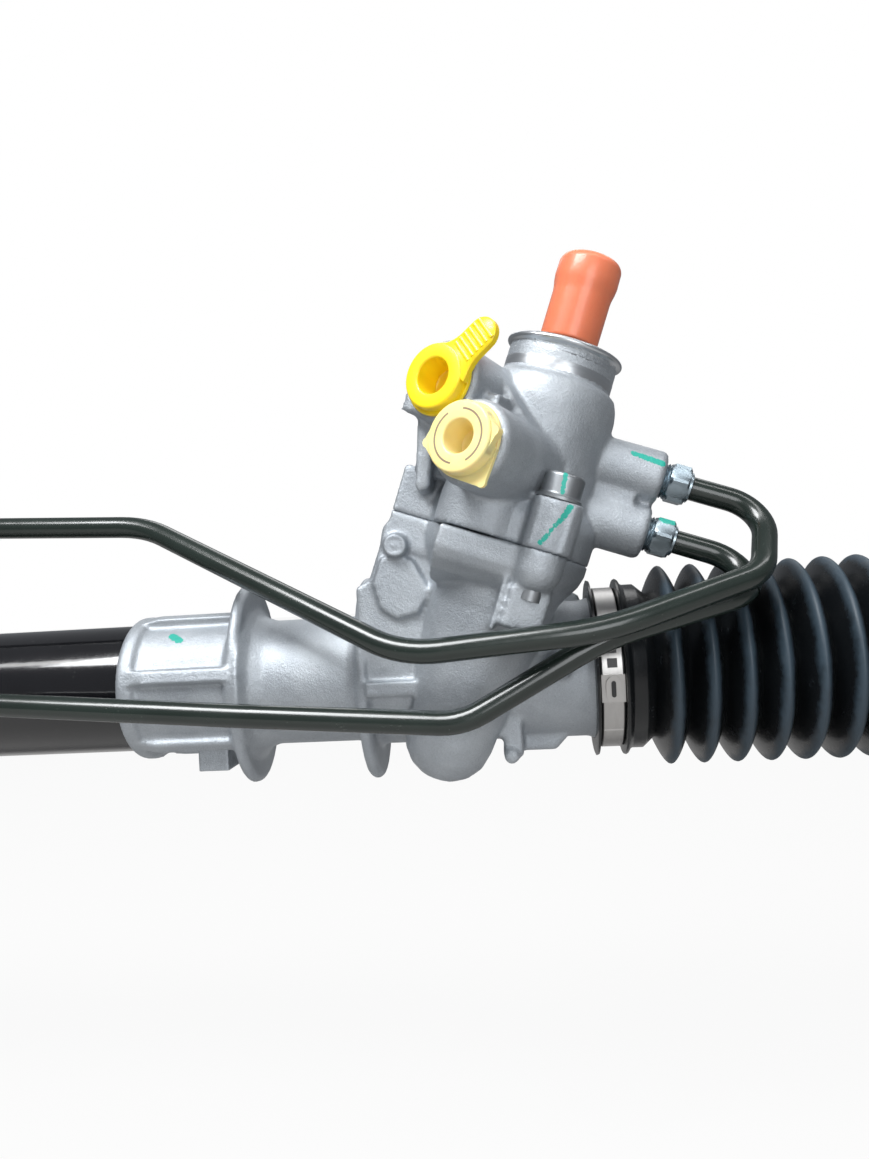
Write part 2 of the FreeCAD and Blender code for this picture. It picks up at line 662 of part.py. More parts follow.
def toothed_rack_bar(left, right):
    bar = put(rod(RACK_R, left, right), RACK)
    pressure = math.radians(TOOTH_PRESSURE)
    pitch = math.pi * TOOTH_MODULE
    lean = math.radians(TOWER_TILT)
    reach = (RACK_TRAVEL + 14) * math.cos(lean)
    root = RACK_ROOT_Y - TOWER_Y
    tip = root - RACK_TOOTH_DEPTH
    half_line = pitch / 4 + GEAR_BACKLASH / 4
    half_root = half_line - (root - RACK_LINE) * math.tan(pressure)
    half_tip = half_line + (RACK_LINE - tip + 6) * math.tan(pressure)
    half_flat = RACK_TRAVEL + 20
    bar = bar.cut(block(TOWER_X - half_flat, TOWER_X + half_flat, -RACK_R - 1, TOWER_Y + tip, -20, 20))
    count = int(reach / pitch)
    grooves = []
    for i in range(-count, count + 1):
        centre = i * pitch
        middle = centre * math.tan(lean)
        groove = prism([(centre - half_root, root), (centre + half_root, root), (centre + half_tip, tip - 6),
                        (centre - half_tip, tip - 6)], middle - 20, middle + 20)
        grooves.append(put(groove, TOWER))
    return bar.cut(Part.makeCompound(grooves))


BALL_RIGHT = NECK_END + STOP_GAP + RACK_TRAVEL
BALL_LEFT = TUBE_LEFT - END_CAP_W - STOP_GAP - RACK_TRAVEL


def rack_bar():
    bar = toothed_rack_bar(BALL_LEFT, BALL_RIGHT)
    groove = ring(RACK_R + 1, RACK_R - 1.2, PISTON_X - 6.0, PISTON_X + 6.0)
    bar = bar.cut(put(groove, RACK))
    for end, sign in ((BALL_LEFT, -1), (BALL_RIGHT, 1)):
        hole = rod(7.0, -18, 1)
        bar = bar.cut(put(hole, rack_place(end, sign)))
    return bar


def piston():
    outer = TUBE_BORE_R - RUN_FIT
    half = PISTON_W / 2
    body = turned([
        (RACK_R, -half), (outer - 1, -half), (outer, -half + 1), (outer, -2.2), (outer - 2.2, -2.2),
        (outer - 2.2, 2.2), (outer, 2.2), (outer, half - 1), (outer - 1, half), (RACK_R, half),
    ])
    inner = ring(RACK_R, RACK_R - 1.2, -6.0, 6.0)
    return put(fuse(body, inner), rack_place(PISTON_X))


def piston_ring():
    outer = TUBE_BORE_R - RUN_FIT
    return put(ring(outer, outer - 2.2, -2.2, 2.2), rack_place(PISTON_X))


# Ball joints, in a frame whose Z leaves the rack end outwards; the rack end is at zero

BALL_AT = SOCKET_DEPTH


def end_place(side):
    return rack_place(BALL_RIGHT, 1) if side == "right" else rack_place(BALL_LEFT, -1)


def mouth(reach):
    """Cone that opens the socket around the tie rod."""
    width = reach * math.tan(math.radians(SOCKET_MOUTH))
    return cone(0.0, width, BALL_AT, BALL_AT + reach)


def ball_socket(side):
    low = 2.4
    body = turned([
        (0, low), (SOCKET_R - 1.5, low), (SOCKET_R, low + 1.5), (SOCKET_R, BALL_AT + 2),
        (SOCKET_R - 1.6, BALL_AT + 8), (SOCKET_R - 5, BALL_AT + 11.5), (0, BALL_AT + 11.5),
    ])
    stud = rod(7.0, -16, low)
    body = fuse(body, stud)
    hollow = Part.makeSphere(BALL_R + SEAT_WALL + RUN_FIT, V(0, 0, BALL_AT))
    body = body.cut(hollow).cut(mouth(30))
    for sign in (1, -1):
        flat = block(-30, 30, 14.5, 40, 3, 10)
        if sign < 0:
            flat = flat.mirror(V(0, 0, 0), V(0, 1, 0))
        body = body.cut(flat)
    return put(body, end_place(side))


def lock_washer(side):
    plate = ring(SOCKET_R - 2.5, 7.0, 0, 2.4)
    return put(plate, end_place(side))


def ball_seat(side):
    shell = Part.makeSphere(BALL_R + SEAT_WALL, V(0, 0, BALL_AT))
    shell = shell.cut(Part.makeSphere(BALL_R + RUN_FIT, V(0, 0, BALL_AT)))
    return put(shell.cut(mouth(30)).cut(rod(3.0, 0, BALL_AT)), end_place(side))


def tie_rod(side):
    end = BALL_AT + ROD_LENGTH
    thread = end - THREAD_LENGTH
    nut = thread + JAM_NUT_FROM
    ball = Part.makeSphere(BALL_R, V(0, 0, BALL_AT)).cut(block(-20, 20, -20, 20, 0, BALL_AT - BALL_R + 1.2))
    shaft = turned([
        (0, BALL_AT), (6.2, BALL_AT), (6.2, BALL_AT + 14), (SHANK_R, BALL_AT + 24),
        (SHANK_R, thread - 2), (ROD_R, thread), (ROD_R, nut), (THREAD_PITCH_R, nut),
        (THREAD_PITCH_R, nut + JAM_NUT_W + 0.5), (ROD_R, nut + JAM_NUT_W + 0.5), (ROD_R, end - 1.2),
        (ROD_R - 1.2, end), (0, end),
    ])
    solid = fuse(ball, shaft)
    for sign in (1, -1):
        flat = block(-20, 20, ROD_R - 0.4, 20, thread - 20, thread - 8)
        if sign < 0:
            flat = flat.mirror(V(0, 0, 0), V(0, 1, 0))
        solid = solid.cut(flat)
    return put(solid, end_place(side))


def jam_nut(side):
    low = BALL_AT + ROD_LENGTH - THREAD_LENGTH + JAM_NUT_FROM
    nut = hexagon(22.0, low, low + JAM_NUT_W).cut(rod(THREAD_PITCH_R, low - 1, low + JAM_NUT_W + 1))
    return put(nut, end_place(side))


# Bellows: Z leaves the housing outwards, zero at the first lip

def cuff_radius(side):
    return NECK_R if side == "right" else TUBE_R


def bellows_place(side):
    if side == "right":
        return rack_place(NECK_START, 1)
    return rack_place(TUBE_LEFT + NECK_END - NECK_START, -1)


FIRST_FOLD = 24.0
LAST_FOLD = FIRST_FOLD + FOLD_PITCH * (FOLD_COUNT - 1)
SMALL_CUFF = LAST_FOLD + 9.0


def fold_radii(i):
    """Crest and valley radius of fold i, which taper towards the small cuff."""
    left = FOLD_COUNT - 1 - i
    taper = max(0, 4 - left) / 4
    crest = FOLD_R - 15.0 * taper - (1.0 if i == 0 else 0)
    valley = FOLD_VALLEY_R - 12.0 * taper
    return crest, valley


def fold_line(wall):
    """Points along the folds; wall is how far inside the outer skin the line lies."""
    points = []
    for i in range(FOLD_COUNT):
        crest, valley = fold_radii(i)
        at = FIRST_FOLD + FOLD_PITCH * i
        points.append((crest - wall, at - 0.9 + wall * 0.35))
        points.append((crest - wall, at + 0.9 - wall * 0.35))
        if i < FOLD_COUNT - 1:
            points.append((valley - wall, at + FOLD_PITCH / 2 - 0.5))
            points.append((valley - wall, at + FOLD_PITCH / 2 + 0.5))
    return points


def bellows(side):
    seat = cuff_radius(side)
    band = seat + CUFF_WALL
    outer = [
        (seat, 0), (band + 3.6, 0), (band + 3.6, 1.1), (band, 1.6), (band, 8.8), (band + 3.6, 9.2),
        (band + 3.6, 10.3), (band + 1.5, 11.8), (band + 1.5, 15.5), (FOLD_VALLEY_R, FIRST_FOLD - 5.2),
    ]
    outer += fold_line(0)
    outer += [
        (SMALL_CUFF_R + 1.2, SMALL_CUFF), (SMALL_CUFF_R, SMALL_CUFF + 1), (SMALL_CUFF_R, SMALL_CUFF + SMALL_CUFF_W),
    ]
    bore = SHANK_R + RUN_FIT
    inner = [(bore, SMALL_CUFF + SMALL_CUFF_W), (bore, SMALL_CUFF)]
    inner += list(reversed(fold_line(FOLD_WALL)))
    inner += [(FOLD_VALLEY_R - FOLD_WALL, FIRST_FOLD - 5.2), (seat, NECK_END - NECK_START)]
    return put(turned(outer + inner), bellows_place(side))


def band_clamp(side):
    inner = cuff_radius(side) + CUFF_WALL
    band = ring(inner + BAND_WALL, inner, 1.85, 1.85 + BAND_W)
    ear = block(-4.5, 4.5, -inner - BAND_WALL - 3.2, -inner - 0.3, 2.2, 1.5 + BAND_W)
    window = block(-1.8, 1.8, -inner - 9, -inner - BAND_WALL - 0.6, 0, 20)
    return put(fuse(band, ear.cut(window)), bellows_place(side))


def small_clip(side):
    inner = SMALL_CUFF_R + RUN_FIT
    low = SMALL_CUFF + 5
    band = ring(inner + 1.2, inner, low, low + 5)
    ears = block(-3.2, 3.2, inner + 0.5, inner + 5.5, low, low + 5).cut(block(-1.2, 1.2, 0, 40, 0, 400))
    return put(fuse(band, ears), bellows_place(side))


# Pipes and caps

def tower_point(r, height, y=0.0):
    point = TOWER.multVec(V(r, y, height))
    return (point.x, point.y, point.z)


def pipe_upper():
    start = tower_point(PIPE_BOSS_END - 3, PIPE_UPPER_S)
    first = (*tower_point(PIPE_UPPER_REACH, PIPE_UPPER_S), PIPE_TIGHT_R)
    return pipe(start, (first, *PIPE_UPPER_CORNERS), (PORT_INNER_X, 0.0, TUBE_BOSS_TOP - 6))


def pipe_lower():
    start = tower_point(PIPE_BOSS_END - 3, PIPE_LOWER_S)
    first = (*tower_point(PIPE_LOWER_REACH, PIPE_LOWER_S), PIPE_TIGHT_R)
    return pipe(start, (first, *PIPE_LOWER_CORNERS), (PORT_OUTER_X, -TUBE_BOSS_TOP + 6, 0.0))


def flare_nuts():
    """Four nuts: two on the tower bosses, two on the tube bosses."""
    nuts = []
    tower_places = [TOWER.multiply(side_place(height)) for height in (PIPE_UPPER_S, PIPE_LOWER_S)]
    for place, end in [(p, PIPE_BOSS_END) for p in tower_places] + [(p, TUBE_BOSS_TOP) for p in tube_port_places()]:
        thread = rod(NUT_THREAD_R, end - 5, end + NUT_NECK + 0.5)
        head = hexagon(NUT_AF, end + NUT_NECK, end + NUT_NECK + NUT_HEX)
        nut = fuse(thread, head).cut(rod(PIPE_R, end - 10, end + 30))
        nuts.append(put(nut, place))
    return Part.makeCompound(nuts)


def shaft_cap():
    low, high = CAP_S
    bore = SPLINE_R + RUN_FIT
    cap = turned([
        (bore, low), (CAP_R, low), (CAP_R, high - 12), (CAP_R + 0.8, high - 8), (CAP_R + 0.5, high - 4),
        (CAP_R - 0.9, high - 1.2), (CAP_R - 3.0, high), (0, high), (0, SPLINE_S[1] + 0.5),
        (bore, SPLINE_S[1] + 0.5),
    ])
    return put(cap, TOWER)


def plug(port, disc_r, width, *extras):
    """Moulded plug: stem, skirt on the port's face, disc with a blind hole, and what else is moulded on."""
    reach = port[2]
    face = reach + width
    disc = turned([
        (0, reach), (PLUG_SKIRT_R, reach), (PLUG_SKIRT_R, reach + PLUG_SKIRT_W), (disc_r, reach + PLUG_SKIRT_W),
        (disc_r, face - 0.8), (disc_r - 0.8, face), (0, face),
    ])
    stem = rod(PORT_HOLE_R - RUN_FIT, reach - PORT_HOLE_DEPTH + 2, reach + 0.5)
    solid = fuse(disc, stem, *extras)
    hole = turned([
        (0, reach - 8), (PLUG_HOLE_R - 0.8, reach - 8), (PLUG_HOLE_R - 0.3, face - 0.8), (PLUG_HOLE_R + 0.5, face + 1),
        (0, face + 1),
    ])
    return put(solid.cut(hole), TOWER.multiply(port_place(port)))


def pressure_port_plug():
    face = PRESSURE_PORT[2] + TAB_PLUG_W
    tongue = []
    for sign in (-1, 1):
        edge = [(0, TAB_PLUG_R * sign - TAB_SIDE), (7, 7.4 * sign), (10.5, 5.4 * sign), (14, TAB_HALF * sign),
                (TAB_REACH - 3, TAB_HALF * sign), (TAB_REACH - 0.9, (TAB_HALF - 2) * sign), (TAB_REACH, 0.8 * sign)]
        tongue += edge[::-sign]
    tab = prism(tongue, face - 0.3 - TAB_THICK, face - 0.3)
    across = FreeCAD.Rotation(V(1, 0, 0), 90)
    for i in range(TAB_RIBS):
        place = FreeCAD.Placement(V(12 + 1.7 * i, 0, face - 0.4), across)
        tab = tab.fuse(put(rod(0.6, 0.8 - TAB_HALF, TAB_HALF - 0.8), place))
    tab.translate(V(0, TAB_SIDE, 0))
    tab.rotate(V(0, 0, 0), V(0, 0, 1), TAB_TURN)
    return plug(PRESSURE_PORT, TAB_PLUG_R, TAB_PLUG_W, tab)


def blunt_points(radius, tip, low, high, turns):
    """Wedges that widen a round plate to blunt points at the given turns."""
    angle = math.acos(radius / tip)
    x, y = radius * math.cos(angle), radius * math.sin(angle)
    wedges = []
    for turn in turns:
        wedge = prism([(0, 0), (x, -y), (tip - 1, -1.2), (tip - 1, 1.2), (x, y)], low, high)
        wedge.rotate(V(0, 0, 0), V(0, 0, 1), turn)
        wedges.append(wedge)
    return wedges


def return_port_plug():
    reach = RETURN_PORT[2]
    face = reach + LOBE_PLUG_W
    lobes = blunt_points(LOBE_PLUG_R, LOBE_TIP, reach + 1.8, face - 0.9, (LOBE_TURN, LOBE_TURN + 180))
    corner = blunt_points(PLUG_SKIRT_R, SKIRT_TIP, reach, reach + PLUG_SKIRT_W, (SKIRT_TURN,))
    groove = ring(GROOVE_R + 0.25, GROOVE_R - 0.25, face - 0.6, face + 1)
    groove = groove.cut(block(-2.4, 2.4, -20, 20, face - 2, face + 2))
    groove.rotate(V(0, 0, 0), V(0, 0, 1), LOBE_TURN)
    groove = put(groove, TOWER.multiply(port_place(RETURN_PORT)))
    return plug(RETURN_PORT, LOBE_PLUG_R, LOBE_PLUG_W, *lobes, *corner).cut(groove)


save("rack_housing", rack_housing())
save("valve_housing", valve_housing())
save("valve_housing_bolts", valve_housing_bolts())
save("cylinder_tube", cylinder_tube())
save("tube_port_bosses", tube_port_bosses())
save("inner_seal_carrier", inner_seal_carrier())
save("inner_rack_seal", inner_rack_seal())
save("tube_end_bush", tube_end_bush())
save("outer_rack_seal", outer_rack_seal())
save("pinion_lower_bearing", pinion_lower_bearing())
save("pinion_upper_bearing", pinion_upper_bearing())
save("bearing_spacer", bearing_spacer())
save("valve_bearing", valve_bearing())
save("input_seal", input_seal())
save("rack_guide", rack_guide())
save("guide_spring", guide_spring())
save("guide_plug", guide_plug())
save("guide_lock_nut", guide_lock_nut())
save("pinion", pinion())
save("valve_sleeve", valve_sleeve())
save("sleeve_rings", sleeve_rings())
save("input_shaft", input_shaft())
save("torsion_bar", torsion_bar())
save("rack_bar", rack_bar())
save("piston", piston())
save("piston_ring", piston_ring())
save("pipe_upper", pipe_upper())
save("pipe_lower", pipe_lower())
save("flare_nuts", flare_nuts())
save("shaft_cap", shaft_cap())
save("pressure_port_plug", pressure_port_plug())
save("return_port_plug", return_port_plug())
for side in ("left", "right"):
    save("ball_socket_" + side, ball_socket(side))
    save("lock_washer_" + side, lock_washer(side))
    save("ball_seat_" + side, ball_seat(side))
    save("tie_rod_" + side, tie_rod(side))
    save("jam_nut_" + side, jam_nut(side))
    save("bellows_" + side, bellows(side))
    save("band_clamp_" + side, band_clamp(side))
    save("small_clip_" + side, small_clip(side))
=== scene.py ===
"""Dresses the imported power-steering rack: castings, tube, pipes, boots, plugs, light and camera.

Sizes in the classes are millimetres in the rack's own frame; meshes are written in metres.
"""

import logging
import math
from collections.abc import Callable, Sequence
from dataclasses import dataclass
from enum import Enum

import bmesh
import bpy
import numpy as np
from mathutils import Matrix, Vector


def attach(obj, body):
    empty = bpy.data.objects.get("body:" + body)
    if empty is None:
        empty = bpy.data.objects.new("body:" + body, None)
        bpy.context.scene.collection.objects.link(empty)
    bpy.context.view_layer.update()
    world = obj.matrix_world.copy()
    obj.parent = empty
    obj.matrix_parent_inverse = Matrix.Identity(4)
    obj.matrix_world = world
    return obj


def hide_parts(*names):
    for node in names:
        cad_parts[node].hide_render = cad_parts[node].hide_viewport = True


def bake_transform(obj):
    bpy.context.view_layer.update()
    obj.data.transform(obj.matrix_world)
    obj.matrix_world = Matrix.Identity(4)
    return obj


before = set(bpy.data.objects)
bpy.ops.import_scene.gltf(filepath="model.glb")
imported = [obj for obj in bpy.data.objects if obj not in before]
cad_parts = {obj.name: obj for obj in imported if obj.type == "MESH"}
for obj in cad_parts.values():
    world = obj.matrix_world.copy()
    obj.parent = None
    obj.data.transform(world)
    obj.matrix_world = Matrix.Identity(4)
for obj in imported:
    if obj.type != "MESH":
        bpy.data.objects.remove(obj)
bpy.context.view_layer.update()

MM = 0.001
LOG = logging.getLogger("steering_rack")
PAINT = (0.010, 0.32, 0.25)
WHITE = (1.0, 1.0, 1.0, 1.0)
WELD = 1e-6

Colour = tuple[float, float, float]
Point = tuple[float, float, float]
Pair = tuple[float, float]
Profile = Sequence[Pair]


# Node trees

def operator(operation: str, swapped: bool = False) -> Callable[["Value", object], "Value"]:
    """Makes a method of Value that adds one Math node.

    Args:
        operation: The node's operation.
        swapped: Whether the other number comes first.

    Returns:
        The method.
    """
    def method(self: "Value", other: object) -> "Value":
        """Works on this value and another."""
        return self.maths(operation, *((other, self) if swapped else (self, other)))
    return method


class Value:
    """A number socket of a material, so that shader maths reads as an expression."""

    def __init__(self, board: "Nodes", socket: bpy.types.NodeSocket) -> None:
        """Wraps one socket of a board."""
        self.board = board
        self.socket = socket

    def maths(self, operation: str, first: object, second: object = 0.0) -> "Value":
        """Adds a Math node and gives its result."""
        node = self.board.node("ShaderNodeMath", {"operation": operation}, {0: first, 1: second})
        return Value(self.board, node.outputs[0])

    def of(self, operation: str) -> "Value":
        """Applies a function of one number."""
        return self.maths(operation, self)

    __add__ = __radd__ = operator("ADD")
    __sub__ = operator("SUBTRACT")
    __rsub__ = operator("SUBTRACT", swapped=True)
    __mul__ = __rmul__ = operator("MULTIPLY")
    __truediv__ = operator("DIVIDE")
    __gt__ = operator("GREATER_THAN")
    power = operator("POWER")
    least = operator("MINIMUM")
    most = operator("MAXIMUM")

    def ramp(self, low: float, high: float) -> "Value":
        """Rises smoothly from 0 at low to 1 at high, or falls where high is the smaller.

        Args:
            low: Where the result is 0.
            high: Where the result is 1.

        Returns:
            The eased value.
        """
        start, end, flip = (low, high, False) if high > low else (high, low, True)
        node = self.board.node(
            "ShaderNodeMapRange", {"interpolation_type": "SMOOTHSTEP"},
            {"Value": self, "From Min": start, "From Max": end})
        eased = Value(self.board, node.outputs[0])
        return 1 - eased if flip else eased


class Nodes:
    """A node tree with one method that adds any node."""

    def __init__(self, tree: bpy.types.NodeTree) -> None:
        """Starts with an empty tree."""
        self.tree = tree
        tree.nodes.clear()

    def node(self, kind: str, settings: dict[str, object] | None = None,
             values: dict[int | str, object] | None = None) -> bpy.types.Node:
        """Adds a node.

        Args:
            kind: The node's type.
            settings: Its settings, set first.
            values: Numbers, colours or links for its sockets, by name or number.

        Returns:
            The new node.
        """
        node = self.tree.nodes.new(kind)
        for name, setting in (settings or {}).items():
            setattr(node, name, setting)
        for key, value in (values or {}).items():
            link = value.socket if isinstance(value, Value) else value
            if isinstance(link, bpy.types.NodeSocket):
                self.tree.links.new(link, node.inputs[key])
            else:
                node.inputs[key].default_value = link
        return node


class Board(Nodes):
    """The node tree of one material."""

    def __init__(self, name: str) -> None:
        """Starts an empty material of that name.

        Args:
            name: Name of the material.
        """
        self.material = bpy.data.materials.new(name)
        self.material.use_nodes = True
        super().__init__(self.material.node_tree)
        self.place = self.node("ShaderNodeTexCoord").outputs["Object"]

    def noise(self, scale: float, detail: float = 3.0, roughness: float = 0.5,
              stretch: Point = (1.0, 1.0, 1.0)) -> Value:
        """Noise on the piece's own coordinates.

        Args:
            scale: Cells per metre.
            detail: Octaves.
            roughness: Weight of the finer octaves.
            stretch: Scale along each axis.

        Returns:
            The noise, from about 0.2 to 0.8.
        """
        mapping = self.node("ShaderNodeMapping", None, {"Vector": self.place, "Scale": stretch})
        node = self.node("ShaderNodeTexNoise", None, {
            "Vector": mapping.outputs[0], "Scale": scale, "Detail": detail, "Roughness": roughness})
        return Value(self, node.outputs[0])

    def rings(self, axis: Point, scale: float) -> Value:
        """Noise that changes only along an axis, as a lathe tool leaves it.

        Args:
            axis: The lathe's axis.
            scale: Lines per metre.

        Returns:
            The noise, from about 0.2 to 0.8.
        """
        node = self.node("ShaderNodeTexNoise", {"noise_dimensions": "1D"}, {
            "W": self.measure("DOT_PRODUCT", self.place, axis), "Scale": scale, "Detail": 3.0})
        return Value(self, node.outputs[0])

    def cells(self, scale: float) -> Value:
        """Distance to the nearest point of a random scatter, with that many cells per metre."""
        node = self.node("ShaderNodeTexVoronoi", None, {"Vector": self.place, "Scale": scale})
        return Value(self, node.outputs["Distance"])

    def vector(self, operation: str, first: object, second: object = (0.0, 0.0, 0.0),
               scale: object = 1.0) -> bpy.types.Node:
        """Adds a Vector Math node.

        Args:
            operation: The node's operation.
            first: First vector or link.
            second: Second vector or link, which a node that scales leaves out.
            scale: Factor of a node that scales.

        Returns:
            The new node.
        """
        values: dict[int | str, object] = {0: first, 1: second}
        if operation == "SCALE":
            values = {0: first, "Scale": scale}
        return self.node("ShaderNodeVectorMath", {"operation": operation}, values)

    def measure(self, operation: str, first: object, second: object) -> Value:
        """The number that a Vector Math node gives."""
        return Value(self, self.vector(operation, first, second).outputs["Value"])

    def attribute(self, name: str) -> Value:
        """A number stored on the mesh."""
        return Value(self, self.node("ShaderNodeAttribute", {"attribute_name": name}).outputs["Fac"])

    def mix(self, factor: object, first: object, second: object) -> bpy.types.NodeSocket:
        """Mixes two colours.

        Args:
            factor: Share of the second colour.
            first: First colour or link.
            second: Second colour or link.

        Returns:
            The mixed colour.
        """
        ends = [(*c, 1.0) if isinstance(c, tuple) else c for c in (first, second)]
        node = self.node("ShaderNodeMix", {"data_type": "RGBA"}, {0: factor, 6: ends[0], 7: ends[1]})
        return node.outputs[2]

    def bump(self, height: Value, distance: float, strength: float = 1.0,
             under: bpy.types.NodeSocket | None = None) -> bpy.types.NodeSocket:
        """Turns a height into a normal.

        Args:
            height: Height from 0 to 1.
            distance: What a height of 1 stands for, in metres.
            strength: Share of the effect.
            under: A normal to add to.

        Returns:
            The bumped normal.
        """
        values: dict[int | str, object] = {"Height": height, "Distance": distance, "Strength": strength}
        if under is not None:
            values["Normal"] = under
        return self.node("ShaderNodeBump", None, values).outputs[0]

    def finish(self, **values: object) -> bpy.types.Material:
        """Adds the shader and the output.

        Args:
            **values: Sockets of the shader, with underscores for spaces.

        Returns:
            The finished material.
        """
        sockets = {name.replace("_", " "): value for name, value in values.items()}
        for name, value in sockets.items():
            if isinstance(value, tuple) and len(value) == 3 and "Color" in name:
                sockets[name] = (*value, 1.0)
        shader = self.node("ShaderNodeBsdfPrincipled", None, sockets)
        self.node("ShaderNodeOutputMaterial", None, {"Surface": shader.outputs[0]})
        return self.material


class RuleTree(Nodes):
    """A Geometry Nodes tree with named inputs, for pieces that follow a rule."""

    def __init__(self, name: str, inputs: dict[str, float | int]) -> None:
        """Starts the tree.

        Args:
            name: Its name.
            inputs: Its numbers with their defaults, where a whole number makes a whole input.
        """
        super().__init__(bpy.data.node_groups.new(name, "GeometryNodeTree"))
        self.tree.interface.new_socket(name="Geometry", in_out="OUTPUT", socket_type="NodeSocketGeometry")
        self.sockets: dict[str, str] = {}
        for label, number in inputs.items():
            self._input(label, "Int" if isinstance(number, int) else "Float").default_value = number
        self._input("Material", "Material")
        self.given = self.node("NodeGroupInput").outputs

    def _input(self, label: str, kind: str) -> bpy.types.NodeTreeInterfaceSocket:
        """Adds one named input.

        Args:
            label: Its name.
            kind: Its kind, as the socket's type names it.

        Returns:
            The input.
        """
        socket = self.tree.interface.new_socket(name=label, in_out="INPUT", socket_type="NodeSocket" + kind)
        self.sockets[label] = socket.identifier
        return socket

    def close(self, geometry: bpy.types.NodeSocket) -> None:
        """Makes the result real, gives it its material and ends the tree.

        Args:
            geometry: What the tree has made.
        """
        real = self.node("GeometryNodeRealizeInstances", None, {"Geometry": geometry})
        dressed = self.node("GeometryNodeSetMaterial", None, {
            "Geometry": real.outputs[0], "Material": self.given["Material"]})
        self.node("NodeGroupOutput", None, {0: dressed.outputs[0]})

    def made(self, **values: object) -> bpy.types.Mesh:
        """Makes a plain mesh of the tree.

        Args:
            **values: The tree's inputs, with underscores for spaces.

        Returns:
            The mesh.
        """
        shape = linked(self.tree.name, bpy.data.meshes.new(self.tree.name))
        nodes = shape.modifiers.new("rule", "NODES")
        nodes.node_group = self.tree
        for label, value in values.items():
            nodes[self.sockets[label.replace("_", " ")]] = value
        return baked(shape)


# Places

def moved(x: float = 0.0, y: float = 0.0, z: float = 0.0) -> Matrix:
    """A place moved along the axes."""
    return Matrix.Translation((x, y, z))


def spun(degrees: float, axis: str) -> Matrix:
    """A place turned about an axis."""
    return Matrix.Rotation(math.radians(degrees), 4, axis)


def aimed(out: Vector) -> Matrix:
    """A place whose Z points along a direction."""
    return Vector((0, 0, 1)).rotation_difference(out).to_matrix().to_4x4()


@dataclass(frozen=True)
class Tower:
    """The leaning valve tower: where its axis crosses the rack's height, and its lean."""

    x: float = 54.7
    y: float = -17.7
    lean: float = 20.0
    split: float = 45.0
    port_turn: float = 30.5

    def matrix(self) -> Matrix:
        """Place of the tower's own frame, whose Z runs up its axis."""
        return moved(self.x, self.y) @ spun(self.lean, "Y")

    def point(self, across: float, deep: float, up: float) -> Vector:
        """A point given across, in depth and up the tower, in the rack's frame."""
        return self.matrix() @ Vector((across, deep, up))

    def port(self, height: float, offset: float) -> Matrix:
        """Place of one hose port.

        Args:
            height: Height of the port's axis up the tower.
            offset: Its sideways offset from the tower's axis.

        Returns:
            A frame whose Z points out of the port.
        """
        turn = math.radians(self.port_turn)
        base = Vector((-offset * math.cos(turn), offset * math.sin(turn), height))
        out = Vector((-math.sin(turn), -math.cos(turn), 0))
        return self.matrix() @ Matrix.Translation(base) @ aimed(out)

    def side(self, height: float) -> Matrix:
        """Place of one pipe boss, whose Z points to the right of the tower."""
        return self.matrix() @ moved(z=height) @ spun(90, "Y")


TOWER = Tower()
STAND = spun(90, "X")
ACROSS = Matrix(((0, 0, 1, 0), (1, 0, 0, 0), (0, 1, 0, 0), (0, 0, 0, 1)))
SIGNS = {"right": 1, "left": -1}
CUFF_WALL = 2.2


def along_rack(x: float = 0.0, sign: int = 1) -> Matrix:
    """A frame on the rack axis at x, whose Z runs along the rack to the given side."""
    return moved(x) @ spun(sign * 90, "Y")


# Mesh tools

def linked(name: str, data: bpy.types.ID) -> bpy.types.Object:
    """A new object in the scene.

    Args:
        name: Its name.
        data: Its mesh, lamp or camera.

    Returns:
        The object.
    """
    made = bpy.data.objects.new(name, data)
    bpy.context.scene.collection.objects.link(made)
    return made


def baked(shape: bpy.types.Object) -> bpy.types.Mesh:
    """Applies an object's modifiers and removes the object.

    Args:
        shape: The object.

    Returns:
        The mesh that the modifiers gave.
    """
    bpy.context.view_layer.update()
    view = bpy.context.evaluated_depsgraph_get()
    data = bpy.data.meshes.new_from_object(shape.evaluated_get(view))
    bpy.data.objects.remove(shape)
    return data


@dataclass
class Form:
    """Points in millimetres and faces, before they become an object."""

    points: list[Vector]
    faces: list[list[int]]

    def placed(self, place: Matrix) -> "Form":
        """The same form moved to a place."""
        return Form([place @ point for point in self.points], self.faces)

    @staticmethod
    def joined(forms: Sequence["Form"]) -> "Form":
        """Several forms as one.

        Args:
            forms: The forms.

        Returns:
            The form of them all.
        """
        points: list[Vector] = []
        faces: list[list[int]] = []
        for form in forms:
            start = len(points)
            points += form.points
            faces += [[i + start for i in face] for face in form.faces]
        return Form(points, faces)

    def mesh(self, name: str) -> bpy.types.Mesh:
        """A mesh in metres, with its faces pointing outwards.

        Args:
            name: Name of the mesh.

        Returns:
            The mesh.
        """
        data = bpy.data.meshes.new(name)
        data.from_pydata([tuple(point * MM) for point in self.points], [], self.faces)
        work = bmesh.new()
        work.from_mesh(data)
        bmesh.ops.remove_doubles(work, verts=work.verts, dist=WELD)
        bmesh.ops.recalc_face_normals(work, faces=work.faces)
        work.to_mesh(data)
        work.free()
        return data


